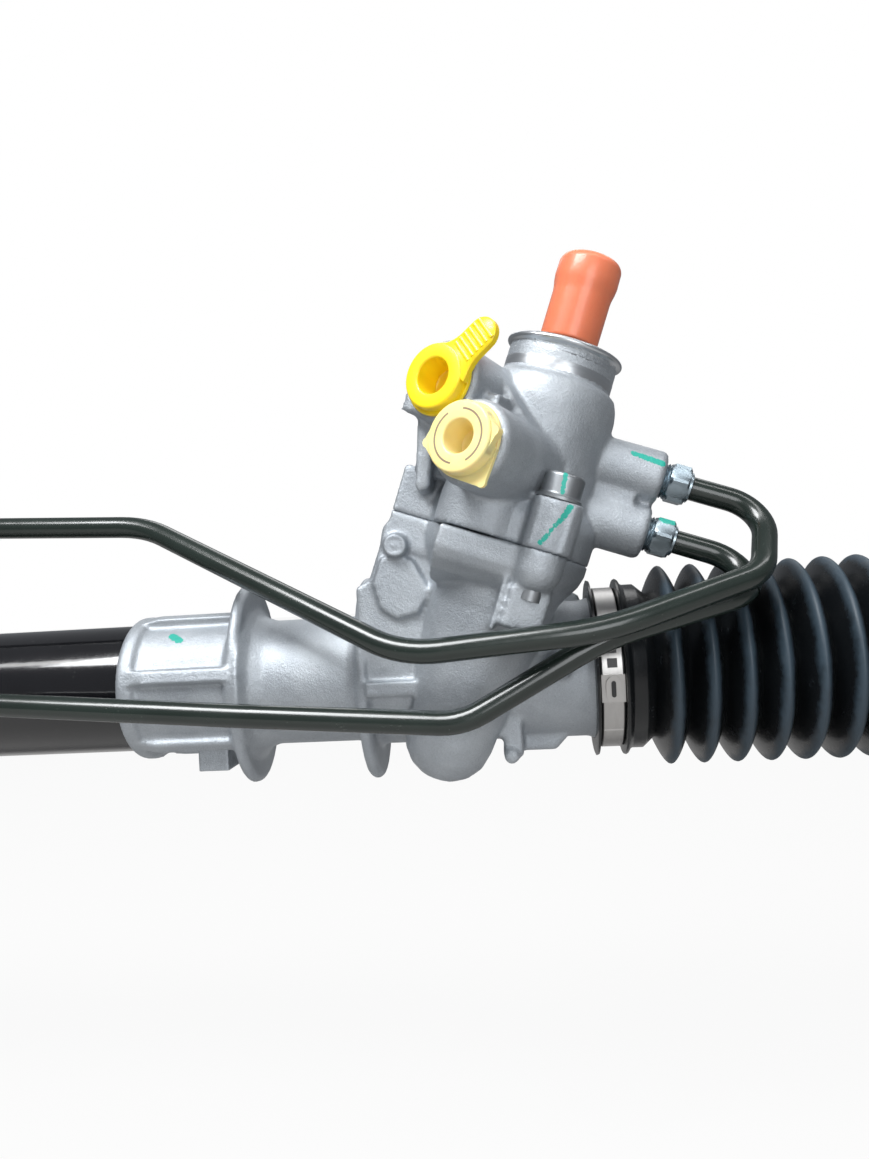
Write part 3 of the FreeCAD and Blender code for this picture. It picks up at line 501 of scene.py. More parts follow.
def turned(profile: Profile, steps: int = 96) -> Form:
    """A form turned about Z.

    Args:
        profile: Points as radius and height; the line is closed unless both ends lie on the axis.
        steps: Steps round the axis.

    Returns:
        The turned form.
    """
    ends_on_axis = profile[0][0] < 1e-6 and profile[-1][0] < 1e-6
    points = []
    for radius, height in profile:
        for i in range(steps):
            angle = 2 * math.pi * i / steps
            points.append(Vector((radius * math.cos(angle), radius * math.sin(angle), height)))
    faces = []
    rows = len(profile)
    for row in range(rows - 1 if ends_on_axis else rows):
        after = (row + 1) % rows
        for i in range(steps):
            j = (i + 1) % steps
            faces.append([row * steps + i, row * steps + j, after * steps + j, after * steps + i])
    return Form(points, faces)


def layered(levels: Sequence[Sequence[Vector]]) -> Form:
    """A closed form over outlines that lie one above another, with as many points in each.

    Args:
        levels: Points of each outline, from the lowest up.

    Returns:
        The form.
    """
    count, top = len(levels[0]), (len(levels) - 1) * len(levels[0])
    faces = [list(range(count))[::-1], list(range(top, top + count))]
    for row in range(0, top, count):
        faces += [[row + i, row + (i + 1) % count, row + count + (i + 1) % count, row + count + i]
                  for i in range(count)]
    return Form([point for level in levels for point in level], faces)


def prism(outline: Profile, low: float, high: float) -> Form:
    """A straight prism over an outline, from low to high along Z."""
    return layered([[Vector((x, y, z)) for x, y in outline] for z in (low, high)])


def disc(radius: float, low: float, high: float, rim: float = 0.4) -> Form:
    """A round disc with softened rims."""
    inner = radius - rim
    return turned([(0, low), (inner, low), (radius, low + rim), (radius, high - rim), (inner, high), (0, high)], 64)


def arc_line(centre: Pair, radius: float, start: float, end: float, steps: int) -> list[Pair]:
    """Points of an arc in a profile, with angles in degrees."""
    angles = [math.radians(start + (end - start) * i / steps) for i in range(steps + 1)]
    return [(centre[0] + radius * math.cos(angle), centre[1] + radius * math.sin(angle)) for angle in angles]


class Maker:
    """Makes objects from meshes and sets them on the bodies that they move with."""

    def __init__(self) -> None:
        """Starts with no pieces and no finishes."""
        self.pieces: list[bpy.types.Object] = []
        self.finishes: dict[Finish, bpy.types.Material] = {}

    def add(self, name: str, shape: Form | bpy.types.Mesh, finish: "Finish", body: str, replaces: Sequence[str] = (),
            smooth: float = 40.0, coat: bpy.types.Material | None = None) -> bpy.types.Object:
        """Makes a piece that rides on a body.

        Args:
            name: Name of the piece.
            shape: Its form in millimetres, or its mesh in metres.
            finish: Its finish.
            body: The body that it moves with, or nothing for a piece that is left unattached.
            replaces: CAD nodes that it stands for.
            smooth: Angle in degrees under which an edge is shaded smooth.
            coat: A material to wear instead of the finish's own.

        Returns:
            The piece.
        """
        data = shape.mesh(name) if isinstance(shape, Form) else shape
        piece = linked(name, data)
        data.materials.clear()
        data.materials.append(coat or self.finishes[finish])
        data.shade_smooth()
        data.set_sharp_from_angle(angle=math.radians(smooth))
        if body:
            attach(piece, body)
        if replaces:
            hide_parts(*replaces)
        self.pieces.append(piece)
        LOG.info("%s: %d faces on %s", name, len(data.polygons), body or "two bodies")
        return piece

    def dress(self, node: str, finish: "Finish") -> None:
        """Gives a CAD node its finish.

        Args:
            node: Name of the node.
            finish: Its finish.
        """
        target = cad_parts[node]
        if not target.material_slots:
            target.data.materials.append(self.finishes[finish])
        for place in target.material_slots:
            place.material = self.finishes[finish]


MAKER = Maker()


# Finishes

@dataclass(frozen=True)
class Stroke:
    """A dab of inspection paint: a line between two points, and its half width."""

    start: Point
    end: Point
    width: float


def stroke_mask(board: Board, stroke: Stroke) -> Value:
    """Where a stroke of paint lies.

    Args:
        board: The material.
        stroke: The stroke, in millimetres of the rack's frame.

    Returns:
        1 on the paint, 0 off it, with a ragged rim.
    """
    start = Vector(stroke.start) * MM
    run = Vector(stroke.end) * MM - start
    away = board.vector("SUBTRACT", board.place, tuple(start)).outputs[0]
    share = (board.measure("DOT_PRODUCT", away, tuple(run)) / run.length_squared).most(0.0).least(1.0)
    nearest = board.vector("SCALE", tuple(run), scale=share).outputs[0]
    gap = board.measure("DISTANCE", away, nearest)
    ragged = gap + (board.noise(1400, 2) - 0.5) * 0.0012
    return ragged.ramp(stroke.width * MM * 1.15, stroke.width * MM * 0.85)


def painted(board: Board, strokes: Sequence[Stroke], colour: bpy.types.NodeSocket,
            metal: float) -> tuple[bpy.types.NodeSocket, Value | float]:
    """Lays strokes of paint over a metal.

    Args:
        board: The material.
        strokes: The strokes.
        colour: Colour of the bare metal.
        metal: How metallic it is.

    Returns:
        The colour and how metallic it is, with the paint.
    """
    for stroke in strokes:
        mask = stroke_mask(board, stroke)
        colour = board.mix(mask, colour, PAINT)
        metal = (1 - mask) * metal
    return colour, metal


@dataclass(frozen=True)
class CastFinish:
    """Sand-cast aluminium: fine grain, cloudy tone, small pits and dabs of paint."""

    name: str
    colour: Colour
    shade: Colour
    grain: float = 1500.0
    depth: float = 0.00030
    metal: float = 0.70
    strokes: tuple[Stroke, ...] = ()

    def material(self) -> bpy.types.Material:
        """Builds the finish.

        Returns:
            The material.
        """
        board = Board(self.name)
        cloud = board.noise(38, 4, 0.6)
        grain = board.noise(self.grain, 3, 0.65)
        sand = board.noise(self.grain * 2.6, 2, 0.5)
        pits = board.cells(520).ramp(0.12, 0.0) * (board.noise(90, 2) > 0.58)
        colour = board.mix(cloud.ramp(0.35, 0.7), self.shade, self.colour)
        colour = board.mix(grain.ramp(0.42, 0.70) * 0.30, colour, tuple(min(1.0, c * 1.25) for c in self.colour))
        colour = board.mix(sand.ramp(0.50, 0.34) * 0.30, colour, tuple(c * 0.6 for c in self.shade))
        colour = board.mix(pits * 0.6, colour, (0.07, 0.07, 0.07))
        rough = 0.36 + grain * 0.26 + cloud * 0.06
        colour, metal = painted(board, self.strokes, colour, self.metal)
        fine = board.bump(grain * 0.7 + sand * 0.3, self.depth, 0.8)
        normal = board.bump(board.noise(240, 3), 0.0007, 0.3, fine)
        return board.finish(Base_Color=colour, Roughness=rough, Metallic=metal, Normal=normal)


@dataclass(frozen=True)
class SteelFinish:
    """Plated, ground or turned metal with fine lines round its own axis."""

    name: str
    colour: Colour
    roughness: float
    tint: Colour
    streak: Point = (1.0, 1.0, 1.0)
    scale: float = 900.0
    lathe: Point | None = None
    strokes: tuple[Stroke, ...] = ()

    def material(self) -> bpy.types.Material:
        """Builds the finish.

        Returns:
            The material.
        """
        board = Board(self.name)
        streak = board.rings(self.lathe, self.scale) if self.lathe else board.noise(self.scale, 4, 0.6, self.streak)
        cloud = board.noise(70, 3)
        colour = board.mix(cloud.ramp(0.35, 0.75) * 0.6, self.colour, self.tint)
        colour = board.mix(streak.ramp(0.3, 0.8) * 0.25, colour, tuple(c * 0.72 for c in self.colour))
        colour, metal = painted(board, self.strokes, colour, 1.0)
        rough = self.roughness - 0.07 + streak * 0.16 + cloud * 0.06
        return board.finish(Base_Color=colour, Roughness=rough, Metallic=metal,
                            Normal=board.bump(streak, 0.00006, 0.5))


@dataclass(frozen=True)
class PaintFinish:
    """Paint on steel: deep gloss, a faint ripple, specks of dust and scuffs down to the primer."""

    name: str
    colour: Colour
    worn: Colour
    roughness: float
    wear: float
    coat: float = 0.6

    def material(self) -> bpy.types.Material:
        """Builds the finish.

        Returns:
            The material.
        """
        board = Board(self.name)
        cloud = board.noise(55, 3)
        scuff = board.noise(260, 6, 0.72, (0.35, 1.0, 1.0)).ramp(0.66 - self.wear, 0.74 - self.wear)
        speck = board.cells(420).ramp(0.055, 0.02)
        colour = board.mix(cloud.ramp(0.35, 0.7) * 0.5, self.colour, tuple(c * 1.5 for c in self.colour))
        colour = board.mix(scuff * 0.75, colour, self.worn)
        colour = board.mix(speck * 0.30, colour, (0.42, 0.42, 0.40))
        rough = self.roughness + cloud * 0.08 + scuff * 0.25 + speck * 0.2
        normal = board.bump(board.noise(130, 2), 0.00035, 0.25)
        return board.finish(Base_Color=colour, Roughness=rough, Metallic=0.0, Coat_Weight=self.coat,
                            Coat_Roughness=0.06, Normal=normal)


@dataclass(frozen=True)
class BootFinish:
    """Moulded rubber: black flanks, crests lighter blue-grey with dust and a painted sheen, and a waxy bloom."""

    name: str = "boot_rubber"
    colour: Colour = (0.0045, 0.0055, 0.0065)
    # Blue-grey of the crests: dust, and a painted sheen.
    crest: Colour = (0.026, 0.044, 0.061)

    def material(self) -> bpy.types.Material:
        """Builds the finish.

        Returns:
            The material.
        """
        board = Board(self.name)
        cloud = board.noise(110, 5, 0.65)
        fine = board.noise(900, 3)
        dust = board.noise(420, 4, 0.7)
        # Blue-grey band towards the crests: partly dust, partly a painted sheen where the crests catch the light.
        worn = (board.attribute("crest") + (cloud - 0.5) * 0.45 + (dust - 0.5) * 0.25).ramp(0.66, 1.0)
        bloom = board.noise(150, 5, 0.7).ramp(0.60, 0.74) * 0.18
        colour = board.mix(worn, self.colour, self.crest)
        colour = board.mix(bloom, colour, (0.050, 0.064, 0.075))
        rough = 0.20 + worn * 0.26 + cloud * 0.10 + bloom * 0.3
        return board.finish(Base_Color=colour, Roughness=rough, Metallic=0.0,
                            Normal=board.bump(fine, 0.00008, 0.6))


@dataclass(frozen=True)
class PlasticFinish:
    """Moulded plastic that lets a little light in, with faint flow marks."""

    name: str
    colour: Colour
    deep: Colour
    roughness: float = 0.28
    inward: float = 0.0006
    coat: float = 0.15

    def material(self) -> bpy.types.Material:
        """Builds the finish.

        Returns:
            The material.
        """
        board = Board(self.name)
        cloud = board.noise(110, 4, 0.6)
        fine = board.noise(1500, 2)
        colour = board.mix(cloud.ramp(0.3, 0.75) * 0.45, self.colour, self.deep)
        rough = self.roughness + cloud * 0.10 + fine * 0.04
        return board.finish(Base_Color=colour, Roughness=rough, Metallic=0.0, Coat_Weight=self.coat,
                            Subsurface_Weight=0.35, Subsurface_Scale=self.inward,
                            Subsurface_Radius=(1.0, 0.6, 0.3), Normal=board.bump(fine, 0.00006, 0.4))


@dataclass(frozen=True)
class FloorFinish:
    """Pale floor that shows nearly white to the camera and keeps a soft shadow."""

    name: str = "studio_floor"
    white: float = 0.93

    def material(self) -> bpy.types.Material:
        """Builds the finish.

        Returns:
            The material.
        """
        board = Board(self.name)
        tone = board.noise(3, 2)
        colour = board.mix(tone * 0.2, (0.46, 0.45, 0.44), (0.44, 0.43, 0.42))
        matt = board.node("ShaderNodeBsdfDiffuse", None, {"Color": colour})
        glow = board.node("ShaderNodeEmission", None, {"Color": WHITE, "Strength": 1.0})
        path = board.node("ShaderNodeLightPath")
        seen = Value(board, path.outputs["Is Camera Ray"])
        both = board.node("ShaderNodeMixShader", None, {0: seen * self.white, 1: matt.outputs[0], 2: glow.outputs[0]})
        board.node("ShaderNodeOutputMaterial", None, {"Surface": both.outputs[0]})
        return board.material


class Finish(Enum):
    """The finishes of the rack."""

    CASTING = "cast_aluminium"
    TUBE = "black_paint"
    ZINC = "zinc_steel"
    STEEL = "steel"
    SPRING = "spring_steel"
    BUSH = "aluminium_bush"
    BAND = "stainless_band"
    SEAL = "seal_rubber"
    BOOT = "boot_rubber"
    GUIDE = "guide_plastic"
    RING = "ring_plastic"
    SEAT = "seat_plastic"
    PIPE = "olive_pipe"
    CAP = "orange_cap"
    YELLOW = "yellow_plug"
    CREAM = "cream_plug"


def tower_stroke(start: Point, end: Point, width: float) -> Stroke:
    """A stroke of paint given in the tower's own frame."""
    return Stroke(tuple(TOWER.point(*start)), tuple(TOWER.point(*end)), width)


def build_finishes() -> dict[Finish, bpy.types.Material]:
    """Builds every finish once.

    Returns:
        The materials by finish.
    """
    casting = (0.445, 0.475, 0.503)
    lug_marks = (
        tower_stroke((15.0, -31.7, 59.0), (9.8, -31.9, 47.0), 0.95),
        tower_stroke((29.0, -8.0, 82.7), (38.6, -7.6, 81.6), 1.05),
        tower_stroke((30.2, -8.0, 68.9), (38.8, -7.6, 68.0), 1.0),
        Stroke((-44.5, -13.8, 18.6), (-41.3, -15.4, 16.8), 1.3),
    )
    nut_mark = (tower_stroke((44.0, -3.0, 65.4), (47.0, -3.0, 65.4), 1.4),)
    looks = (
        CastFinish("cast_aluminium", casting, (0.345, 0.372, 0.402), strokes=lug_marks),
        PaintFinish("black_paint", (0.004, 0.004, 0.005), (0.07, 0.07, 0.07), 0.09, -0.06),
        SteelFinish("zinc_steel", (0.34, 0.40, 0.44), 0.30, (0.26, 0.33, 0.38), scale=320.0, strokes=nut_mark),
        SteelFinish("steel", (0.52, 0.52, 0.53), 0.30, (0.46, 0.46, 0.47), (6.0, 1.0, 1.0)),
        SteelFinish("spring_steel", (0.30, 0.30, 0.32), 0.35, (0.24, 0.24, 0.27)),
        SteelFinish("aluminium_bush", (0.66, 0.67, 0.69), 0.34, (0.58, 0.60, 0.62)),
        SteelFinish("stainless_band", (0.50, 0.49, 0.48), 0.32, (0.42, 0.41, 0.39), (1.0, 0.2, 0.2)),
        PlasticFinish("seal_rubber", (0.02, 0.02, 0.02), (0.03, 0.03, 0.03), 0.5),
        BootFinish(),
        PlasticFinish("guide_plastic", (0.74, 0.72, 0.65), (0.66, 0.64, 0.56), 0.45),
        PlasticFinish("ring_plastic", (0.28, 0.20, 0.13), (0.22, 0.16, 0.10), 0.45),
        PlasticFinish("seat_plastic", (0.80, 0.79, 0.74), (0.72, 0.70, 0.64), 0.4),
        PaintFinish("olive_pipe", (0.010, 0.016, 0.013), (0.13, 0.15, 0.13), 0.22, 0.0, 0.30),
        PlasticFinish("orange_cap", (0.74, 0.205, 0.100), (0.66, 0.165, 0.078), 0.30, 0.0004, 0.2),
        PlasticFinish("yellow_plug", (0.88, 0.66, 0.010), (0.82, 0.56, 0.008), 0.28, 0.0010),
        PlasticFinish("cream_plug", (0.87, 0.73, 0.33), (0.80, 0.63, 0.23), 0.32, 0.0014, 0.1),
    )
    return {Finish(look.name): look.material() for look in looks}


# Castings

@dataclass
class Casting:
    """A sand casting: a CAD node with moulded details fused on and its edges softened."""

    voxel: float = 0.8
    quick_voxel: float = 1.8
    passes: int = 8
    pulls: Pair = (0.55, -0.50)
    most_triangles: int = 190000
    split_share: float = 0.10
    bore_share: float = 0.2

    def fused(self, node: str, extras: Sequence[Form]) -> bpy.types.Object:
        """Fuses a CAD node and extra forms into one skin.

        Args:
            node: The CAD node.
            extras: Closed forms that stand on it.

        Returns:
            An object with the fused mesh.
        """
        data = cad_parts[node].data.copy()
        work = bmesh.new()
        work.from_mesh(data)
        bmesh.ops.remove_doubles(work, verts=work.verts, dist=WELD)
        if extras:
            more = Form.joined(extras).mesh("extras")
            work.from_mesh(more)
        work.to_mesh(data)
        work.free()
        shape = linked(node + "_blank", data)
        remesh = shape.modifiers.new("fuse", "REMESH")
        remesh.mode = "VOXEL"
        remesh.voxel_size = self.voxel * MM * 1.0
        return shape

    def softened(self, data: bpy.types.Mesh, crisp: Callable[[np.ndarray], np.ndarray]) -> None:
        """Rounds the edges of a mesh without shrinking it.

        Args:
            data: The mesh, changed in place.
            crisp: Gives for points in millimetres how much of the rounding each takes, from 0 to 1.
        """
        count = len(data.vertices)
        place = np.zeros(count * 3)
        data.vertices.foreach_get("co", place)
        place = place.reshape(-1, 3)
        edges = np.zeros(len(data.edges) * 2, dtype=np.int64)
        data.edges.foreach_get("vertices", edges)
        first, second = edges.reshape(-1, 2).T
        degree = np.bincount(np.concatenate([first, second]), minlength=count).astype(float)
        share = crisp(place / MM)[:, None]
        for _ in range(self.passes):
            for pull in self.pulls:
                total = np.empty_like(place)
                for axis in range(3):
                    total[:, axis] = np.bincount(first, place[second, axis], count)
                    total[:, axis] += np.bincount(second, place[first, axis], count)
                place += pull * share * (total / degree[:, None] - place)
        data.vertices.foreach_set("co", place.ravel())
        data.update()

    def thinned(self, data: bpy.types.Mesh) -> bpy.types.Mesh:
        """Brings a mesh under the most triangles that a piece may have.

        Args:
            data: The mesh.

        Returns:
            The mesh itself, or a thinner one.
        """
        triangles = 2 * len(data.polygons)
        if triangles <= self.most_triangles:
            return data
        shape = linked("thin", data)
        thin = shape.modifiers.new("thin", "DECIMATE")
        thin.ratio = self.most_triangles / triangles
        return baked(shape)

    def cast(self, node: str, extras: Sequence[Form], crisp: Callable[[np.ndarray], np.ndarray]) -> bpy.types.Mesh:
        """Makes the whole casting.

        Args:
            node: The CAD node.
            extras: Closed forms that stand on it.
            crisp: How much rounding each point takes.

        Returns:
            The finished mesh.
        """
        data = baked(self.fused(node, extras))
        self.softened(data, crisp)
        return self.thinned(data)


def tower_places(points: np.ndarray) -> np.ndarray:
    """Points of the rack's frame in the tower's frame."""
    turn = np.array(TOWER.matrix().inverted())
    return points @ turn[:3, :3].T + turn[:3, 3]


@dataclass
class RackHousing(Casting):
    """The lower casting: sleeve, saddle, flanges, neck and the foot of the tower."""

    neck_end: float = 110.0
    bore: float = 15.3
    neck_share: float = 0.15

    def details(self) -> list[Form]:
        """Moulded details that the CAD part leaves plain.

        Returns:
            Closed forms that stand on the casting.
        """
        tower = TOWER.matrix()
        plateau = prism([(-12, 44.7), (-28.3, 44.7), (-28.1, 38.2), (-26.6, 35.2), (-22.6, 31.5), (-12, 27)],
                        -19.6, 5.8).placed(tower @ ACROSS)
        rib = prism([(2.6, -27.4), (4.0, -27.4), (4.6, -12), (2.2, -12)], 19.0, 37.0).placed(tower)
        step = prism([(5.4, -28.6), (17.4, -26.6), (17.4, -8), (5.4, -8)], 21.0, 33.5).placed(tower)
        neck_pad = disc(4.3, 20, 24.4).placed(moved(83.6, 0, 3.2) @ STAND)
        boss = moved(35.1, 0, 43.7) @ STAND
        ring = turned([(2.6, 26.6), (3.7, 26.6), (3.7, 28.2), (2.6, 28.2)], 48).placed(boss)
        pin = disc(1.6, 26, 28.0).placed(boss)
        foot = disc(2.3, 18, 20.6).placed(moved(67.6, 0, -25.2) @ STAND)
        return [plateau, rib, step, neck_pad, ring, pin, foot, *self.sleeve_pads()]

    def sleeve_pads(self) -> list[Form]:
        """Round pads left by the mould's pins in the sleeve's panels."""
        return [disc(2.4, 21, 24.0).placed(moved(x) @ (spun(turn, "X") @ STAND))
                for x in (-47.5, -31.5) for turn in (-13, 107, 227)]

    def crisp(self, points: np.ndarray) -> np.ndarray:
        """Machined ends and the parting face keep their edges.

        Args:
            points: Points of the mesh, in millimetres.

        Returns:
            The share of the rounding that each takes, from 0 to 1.
        """
        local = tower_places(points)
        share = np.ones(len(points))
        share[(local[:, 2] > TOWER.split - 1.4) & (np.hypot(local[:, 0], local[:, 1]) < 40)] = self.split_share
        share[points[:, 0] > self.neck_end - 1.5] = self.neck_share
        share[np.hypot(points[:, 1], points[:, 2]) < self.bore] = self.bore_share
        return share

    def build(self) -> None:
        """Makes the casting."""
        data = self.cast("rack_housing", self.details(), self.crisp)
        MAKER.add("lower_casting", data, Finish.CASTING, "housing", ["rack_housing"], 80)


@dataclass
class ValveHousing(Casting):
    """The upper casting: the tower's head with its ports, and the machined collar on top."""

    collar: float = 98.0
    rim: float = 108.6
    collar_radius: float = 17.3
    rim_radius: float = 18.5
    bore_radius: float = 14.2
    port_gap: float = 23.85
    collar_share: float = 0.25
    turning: SteelFinish = SteelFinish("turned_collar", (0.60, 0.62, 0.64), 0.30, (0.54, 0.57, 0.60), scale=700.0,
                                       lathe=(0.342, 0.0, 0.940))

    def details(self) -> list[Form]:
        """Moulded details that the CAD part leaves plain.

        Returns:
            Closed forms that stand on the casting.
        """
        tower = TOWER.matrix()
        wall = turned([(0, 45.3), (14.8, 45.3), (14.8, 55), (14.2, 60), (12.0, 66), (8, 69), (0, 70)], 64).placed(
            tower @ moved(-8.6, -13.9))
        ridge = prism([(-36.2, 73.5), (-30.9, 53.0), (-29.6, 52.2), (-27.6, 53.0), (-27.0, 55), (-31, 76), (-34, 77)],
                      7.0, 19.5).placed(tower @ STAND)
        lug = prism([(4.4, -18), (4.6, -29.8), (6.4, -31.9), (16.6, -31.9), (18.8, -29.4), (19.8, -18)],
                    45.3, 60.2).placed(tower)
        bosses = arc_line((0, 0), 12.2, 197, 377, 24)
        bosses += arc_line(arc_line((0, 0), self.port_gap, 107, 107, 1)[0], 12.2, 17, 197, 24)
        saddle = prism(bosses, 4.0, 27.0).placed(TOWER.port(67.8, -6.0))
        return [wall, ridge, lug, saddle]

    def crisp(self, points: np.ndarray) -> np.ndarray:
        """The parting face and the collar keep their edges, and the collar shrinks under its own skin.

        Args:
            points: Points of the mesh, in millimetres.

        Returns:
            The share of the rounding that each takes, from 0 to 1.
        """
        local = tower_places(points)
        share = np.ones(len(points))
        share[local[:, 2] < TOWER.split + 1.4] = self.split_share
        share[local[:, 2] > self.collar + 0.5] = self.collar_share
        share[np.hypot(local[:, 0], local[:, 1]) < self.collar_radius - 0.4] = self.bore_share
        return share

    def collar_skin(self) -> Form:
        """Turned collar with its rolled rim, a groove under it and a chamfered mouth.

        Returns:
            The form in its place.
        """
        r, rim, top = self.collar_radius, self.rim_radius, self.rim
        line = [(r - 0.6, self.collar - 2.2), (r + 0.35, self.collar - 1.3), (r + 0.35, self.collar - 0.1),
                (r + 0.05, self.collar + 0.2), (r + 0.05, self.collar + 3.6), (r - 0.02, self.collar + 3.8),
                (r - 0.02, top - 4.2), (r - 0.25, top - 3.9), (r - 0.25, top - 2.7), (r + 0.15, top - 2.2)]
        line += arc_line((rim - 1.0, top - 1.0), 1.05, -60, 90, 8)
        line += [(self.bore_radius + 1.75, top - 0.15), (self.bore_radius + 0.1, top - 4.5),
                 (self.bore_radius + 0.1, top - 8), (r - 0.6, top - 8)]
        return turned(line, 160).placed(TOWER.matrix())

    def build(self) -> None:
        """Makes the casting and the bright collar."""
        data = self.cast("valve_housing", self.details(), self.crisp)
        MAKER.add("upper_casting", data, Finish.CASTING, "housing", ["valve_housing"], 80)
        MAKER.add("collar_skin", self.collar_skin(), Finish.CASTING, "housing", coat=self.turning.material())


@dataclass
class FlangeBolts:
    """Two bolts that hold the upper casting: a soft-cornered head on a washer flange."""

    seat: float = 60.3
    shank: float = 3.5
    head: float = 6.1
    washer: float = 6.9
    top: float = 8.0
    places: tuple[Pair, ...] = ((11.3, -25.5), (-11.3, 25.5))
    coat: SteelFinish = SteelFinish("bolt_coat", (0.34, 0.355, 0.37), 0.40, (0.27, 0.285, 0.30),
                                    strokes=(tower_stroke((11.6, -31.7, 62.4), (11.0, -31.7, 68.0), 0.65),))

    def build(self) -> None:
        """Makes both bolts as one piece."""
        forms = []
        for x, y in self.places:
            place = TOWER.matrix() @ moved(x, y, self.seat)
            line = [(0, -30), (self.shank, -30), (self.shank, 0.05), (self.washer, 0.05), (self.washer, 0.9),
                    (self.washer - 0.5, 1.25), (self.head + 0.1, 1.5), (self.head, 2.0), (self.head, self.top - 1.4)]
            line += arc_line((self.head - 1.3, self.top - 1.4), 1.3, 0, 90, 6)
            line += [(2.6, self.top), (2.2, self.top - 0.4), (0, self.top - 0.4)]
            forms.append(turned(line, 96).placed(place))
        MAKER.add("flange_bolts", Form.joined(forms), Finish.ZINC, "housing", ["valve_housing_bolts"],
                  coat=self.coat.material())


# Skins made by a rule

class SkinTree(RuleTree):
    """A skin about the X axis whose radius goes up and down in a regular wave."""

    INPUTS: dict[str, float | int] = {
        "Start": 0.0, "Length": 0.1, "Pitch": 0.01, "Crest": 0.03, "Valley": 0.02, "Sharpness": 0.97,
        "Helix": 0.0, "Taper Start": 10.0, "Taper Length": 1.0, "Crest Taper": 0.0, "Valley Taper": 0.0,
        "Side": 1.0, "Fullness": 1.0, "Along": 200, "Around": 96,
    }

    def __init__(self) -> None:
        """Builds the tree: a grid that is bent into the skin."""
        super().__init__("wave_skin", self.INPUTS)
        given = self._given
        grid = self.node("GeometryNodeMeshGrid", None, {
            "Size X": 1.0, "Size Y": 1.0, "Vertices X": given("Along"), "Vertices Y": given("Around")})
        place = self.node("ShaderNodeSeparateXYZ", None, {0: self.node("GeometryNodeInputPosition").outputs[0]})
        along = (Value(self, place.outputs[0]) + 0.5) * given("Length")
        angle = (Value(self, place.outputs[1]) + 0.5) * (2 * math.pi)
        turns = along / given("Pitch")
        wave = self._wave(turns * (2 * math.pi) + angle * given("Helix") + math.pi)
        taper = Value(self, self.node("ShaderNodeClamp", None, {
            0: (turns - given("Taper Start")) / given("Taper Length")}).outputs[0])
        crest = given("Crest") - taper * given("Crest Taper")
        valley = given("Valley") - taper * given("Valley Taper")
        radius = valley + wave * (crest - valley)
        spot = self.node("ShaderNodeCombineXYZ", None, {
            0: given("Start") + along * given("Side"), 1: radius * angle.of("COSINE"), 2: radius * angle.of("SINE")})
        marked = self.node("GeometryNodeStoreNamedAttribute", {"data_type": "FLOAT", "domain": "POINT"}, {
            "Geometry": grid.outputs[0], "Name": "crest", "Value": wave})
        bent = self.node("GeometryNodeSetPosition", None, {
            "Geometry": marked.outputs[0], "Position": spot.outputs[0]})
        seam = self.node("GeometryNodeMergeByDistance", None, {"Geometry": bent.outputs[0], "Distance": WELD})
        self.close(seam.outputs[0])

    def _given(self, label: str) -> Value:
        """One of the tree's inputs."""
        return Value(self, self.given[label])

    def _wave(self, phase: Value) -> Value:
        """A triangle wave with rounded turns, from 0 in the valley to 1 on the crest, made fuller there.

        Args:
            phase: Angle of the wave.

        Returns:
            Height of the wave.
        """
        sharp = self._given("Sharpness")
        swing = phase.of("COSINE") * sharp
        top, bottom = sharp.of("ARCCOSINE"), (sharp * -1.0).of("ARCCOSINE")
        depth = (swing.of("ARCCOSINE") - top) / (bottom - top)
        return 1.0 - depth.power(self._given("Fullness"))

    def skin(self, finish: "Finish", wall: float = 0.0, **values: float) -> bpy.types.Mesh:
        """Makes one skin.

        Args:
            finish: Its finish.
            wall: Wall thickness that grows inwards, in metres.
            **values: The tree's inputs, with underscores for spaces.

        Returns:
            A plain mesh whose faces point outwards.
        """
        made = self.made(Material=MAKER.finishes[finish], **values)
        face = made.polygons[len(made.polygons) // 2]
        if face.normal.dot(Vector((0, face.center.y, face.center.z))) < 0:
            made.flip_normals()
        return self._walled(made, wall) if wall else made

    @staticmethod
    def _walled(data: bpy.types.Mesh, wall: float) -> bpy.types.Mesh:
        """Gives a skin its wall.

        Args:
            data: The skin.
            wall: Thickness that grows inwards, in metres.

        Returns:
            The closed mesh.
        """
        shape = linked("wall", data)
        solid = shape.modifiers.new("wall", "SOLIDIFY")
        solid.thickness = wall
        solid.offset = -1.0
        return baked(shape)


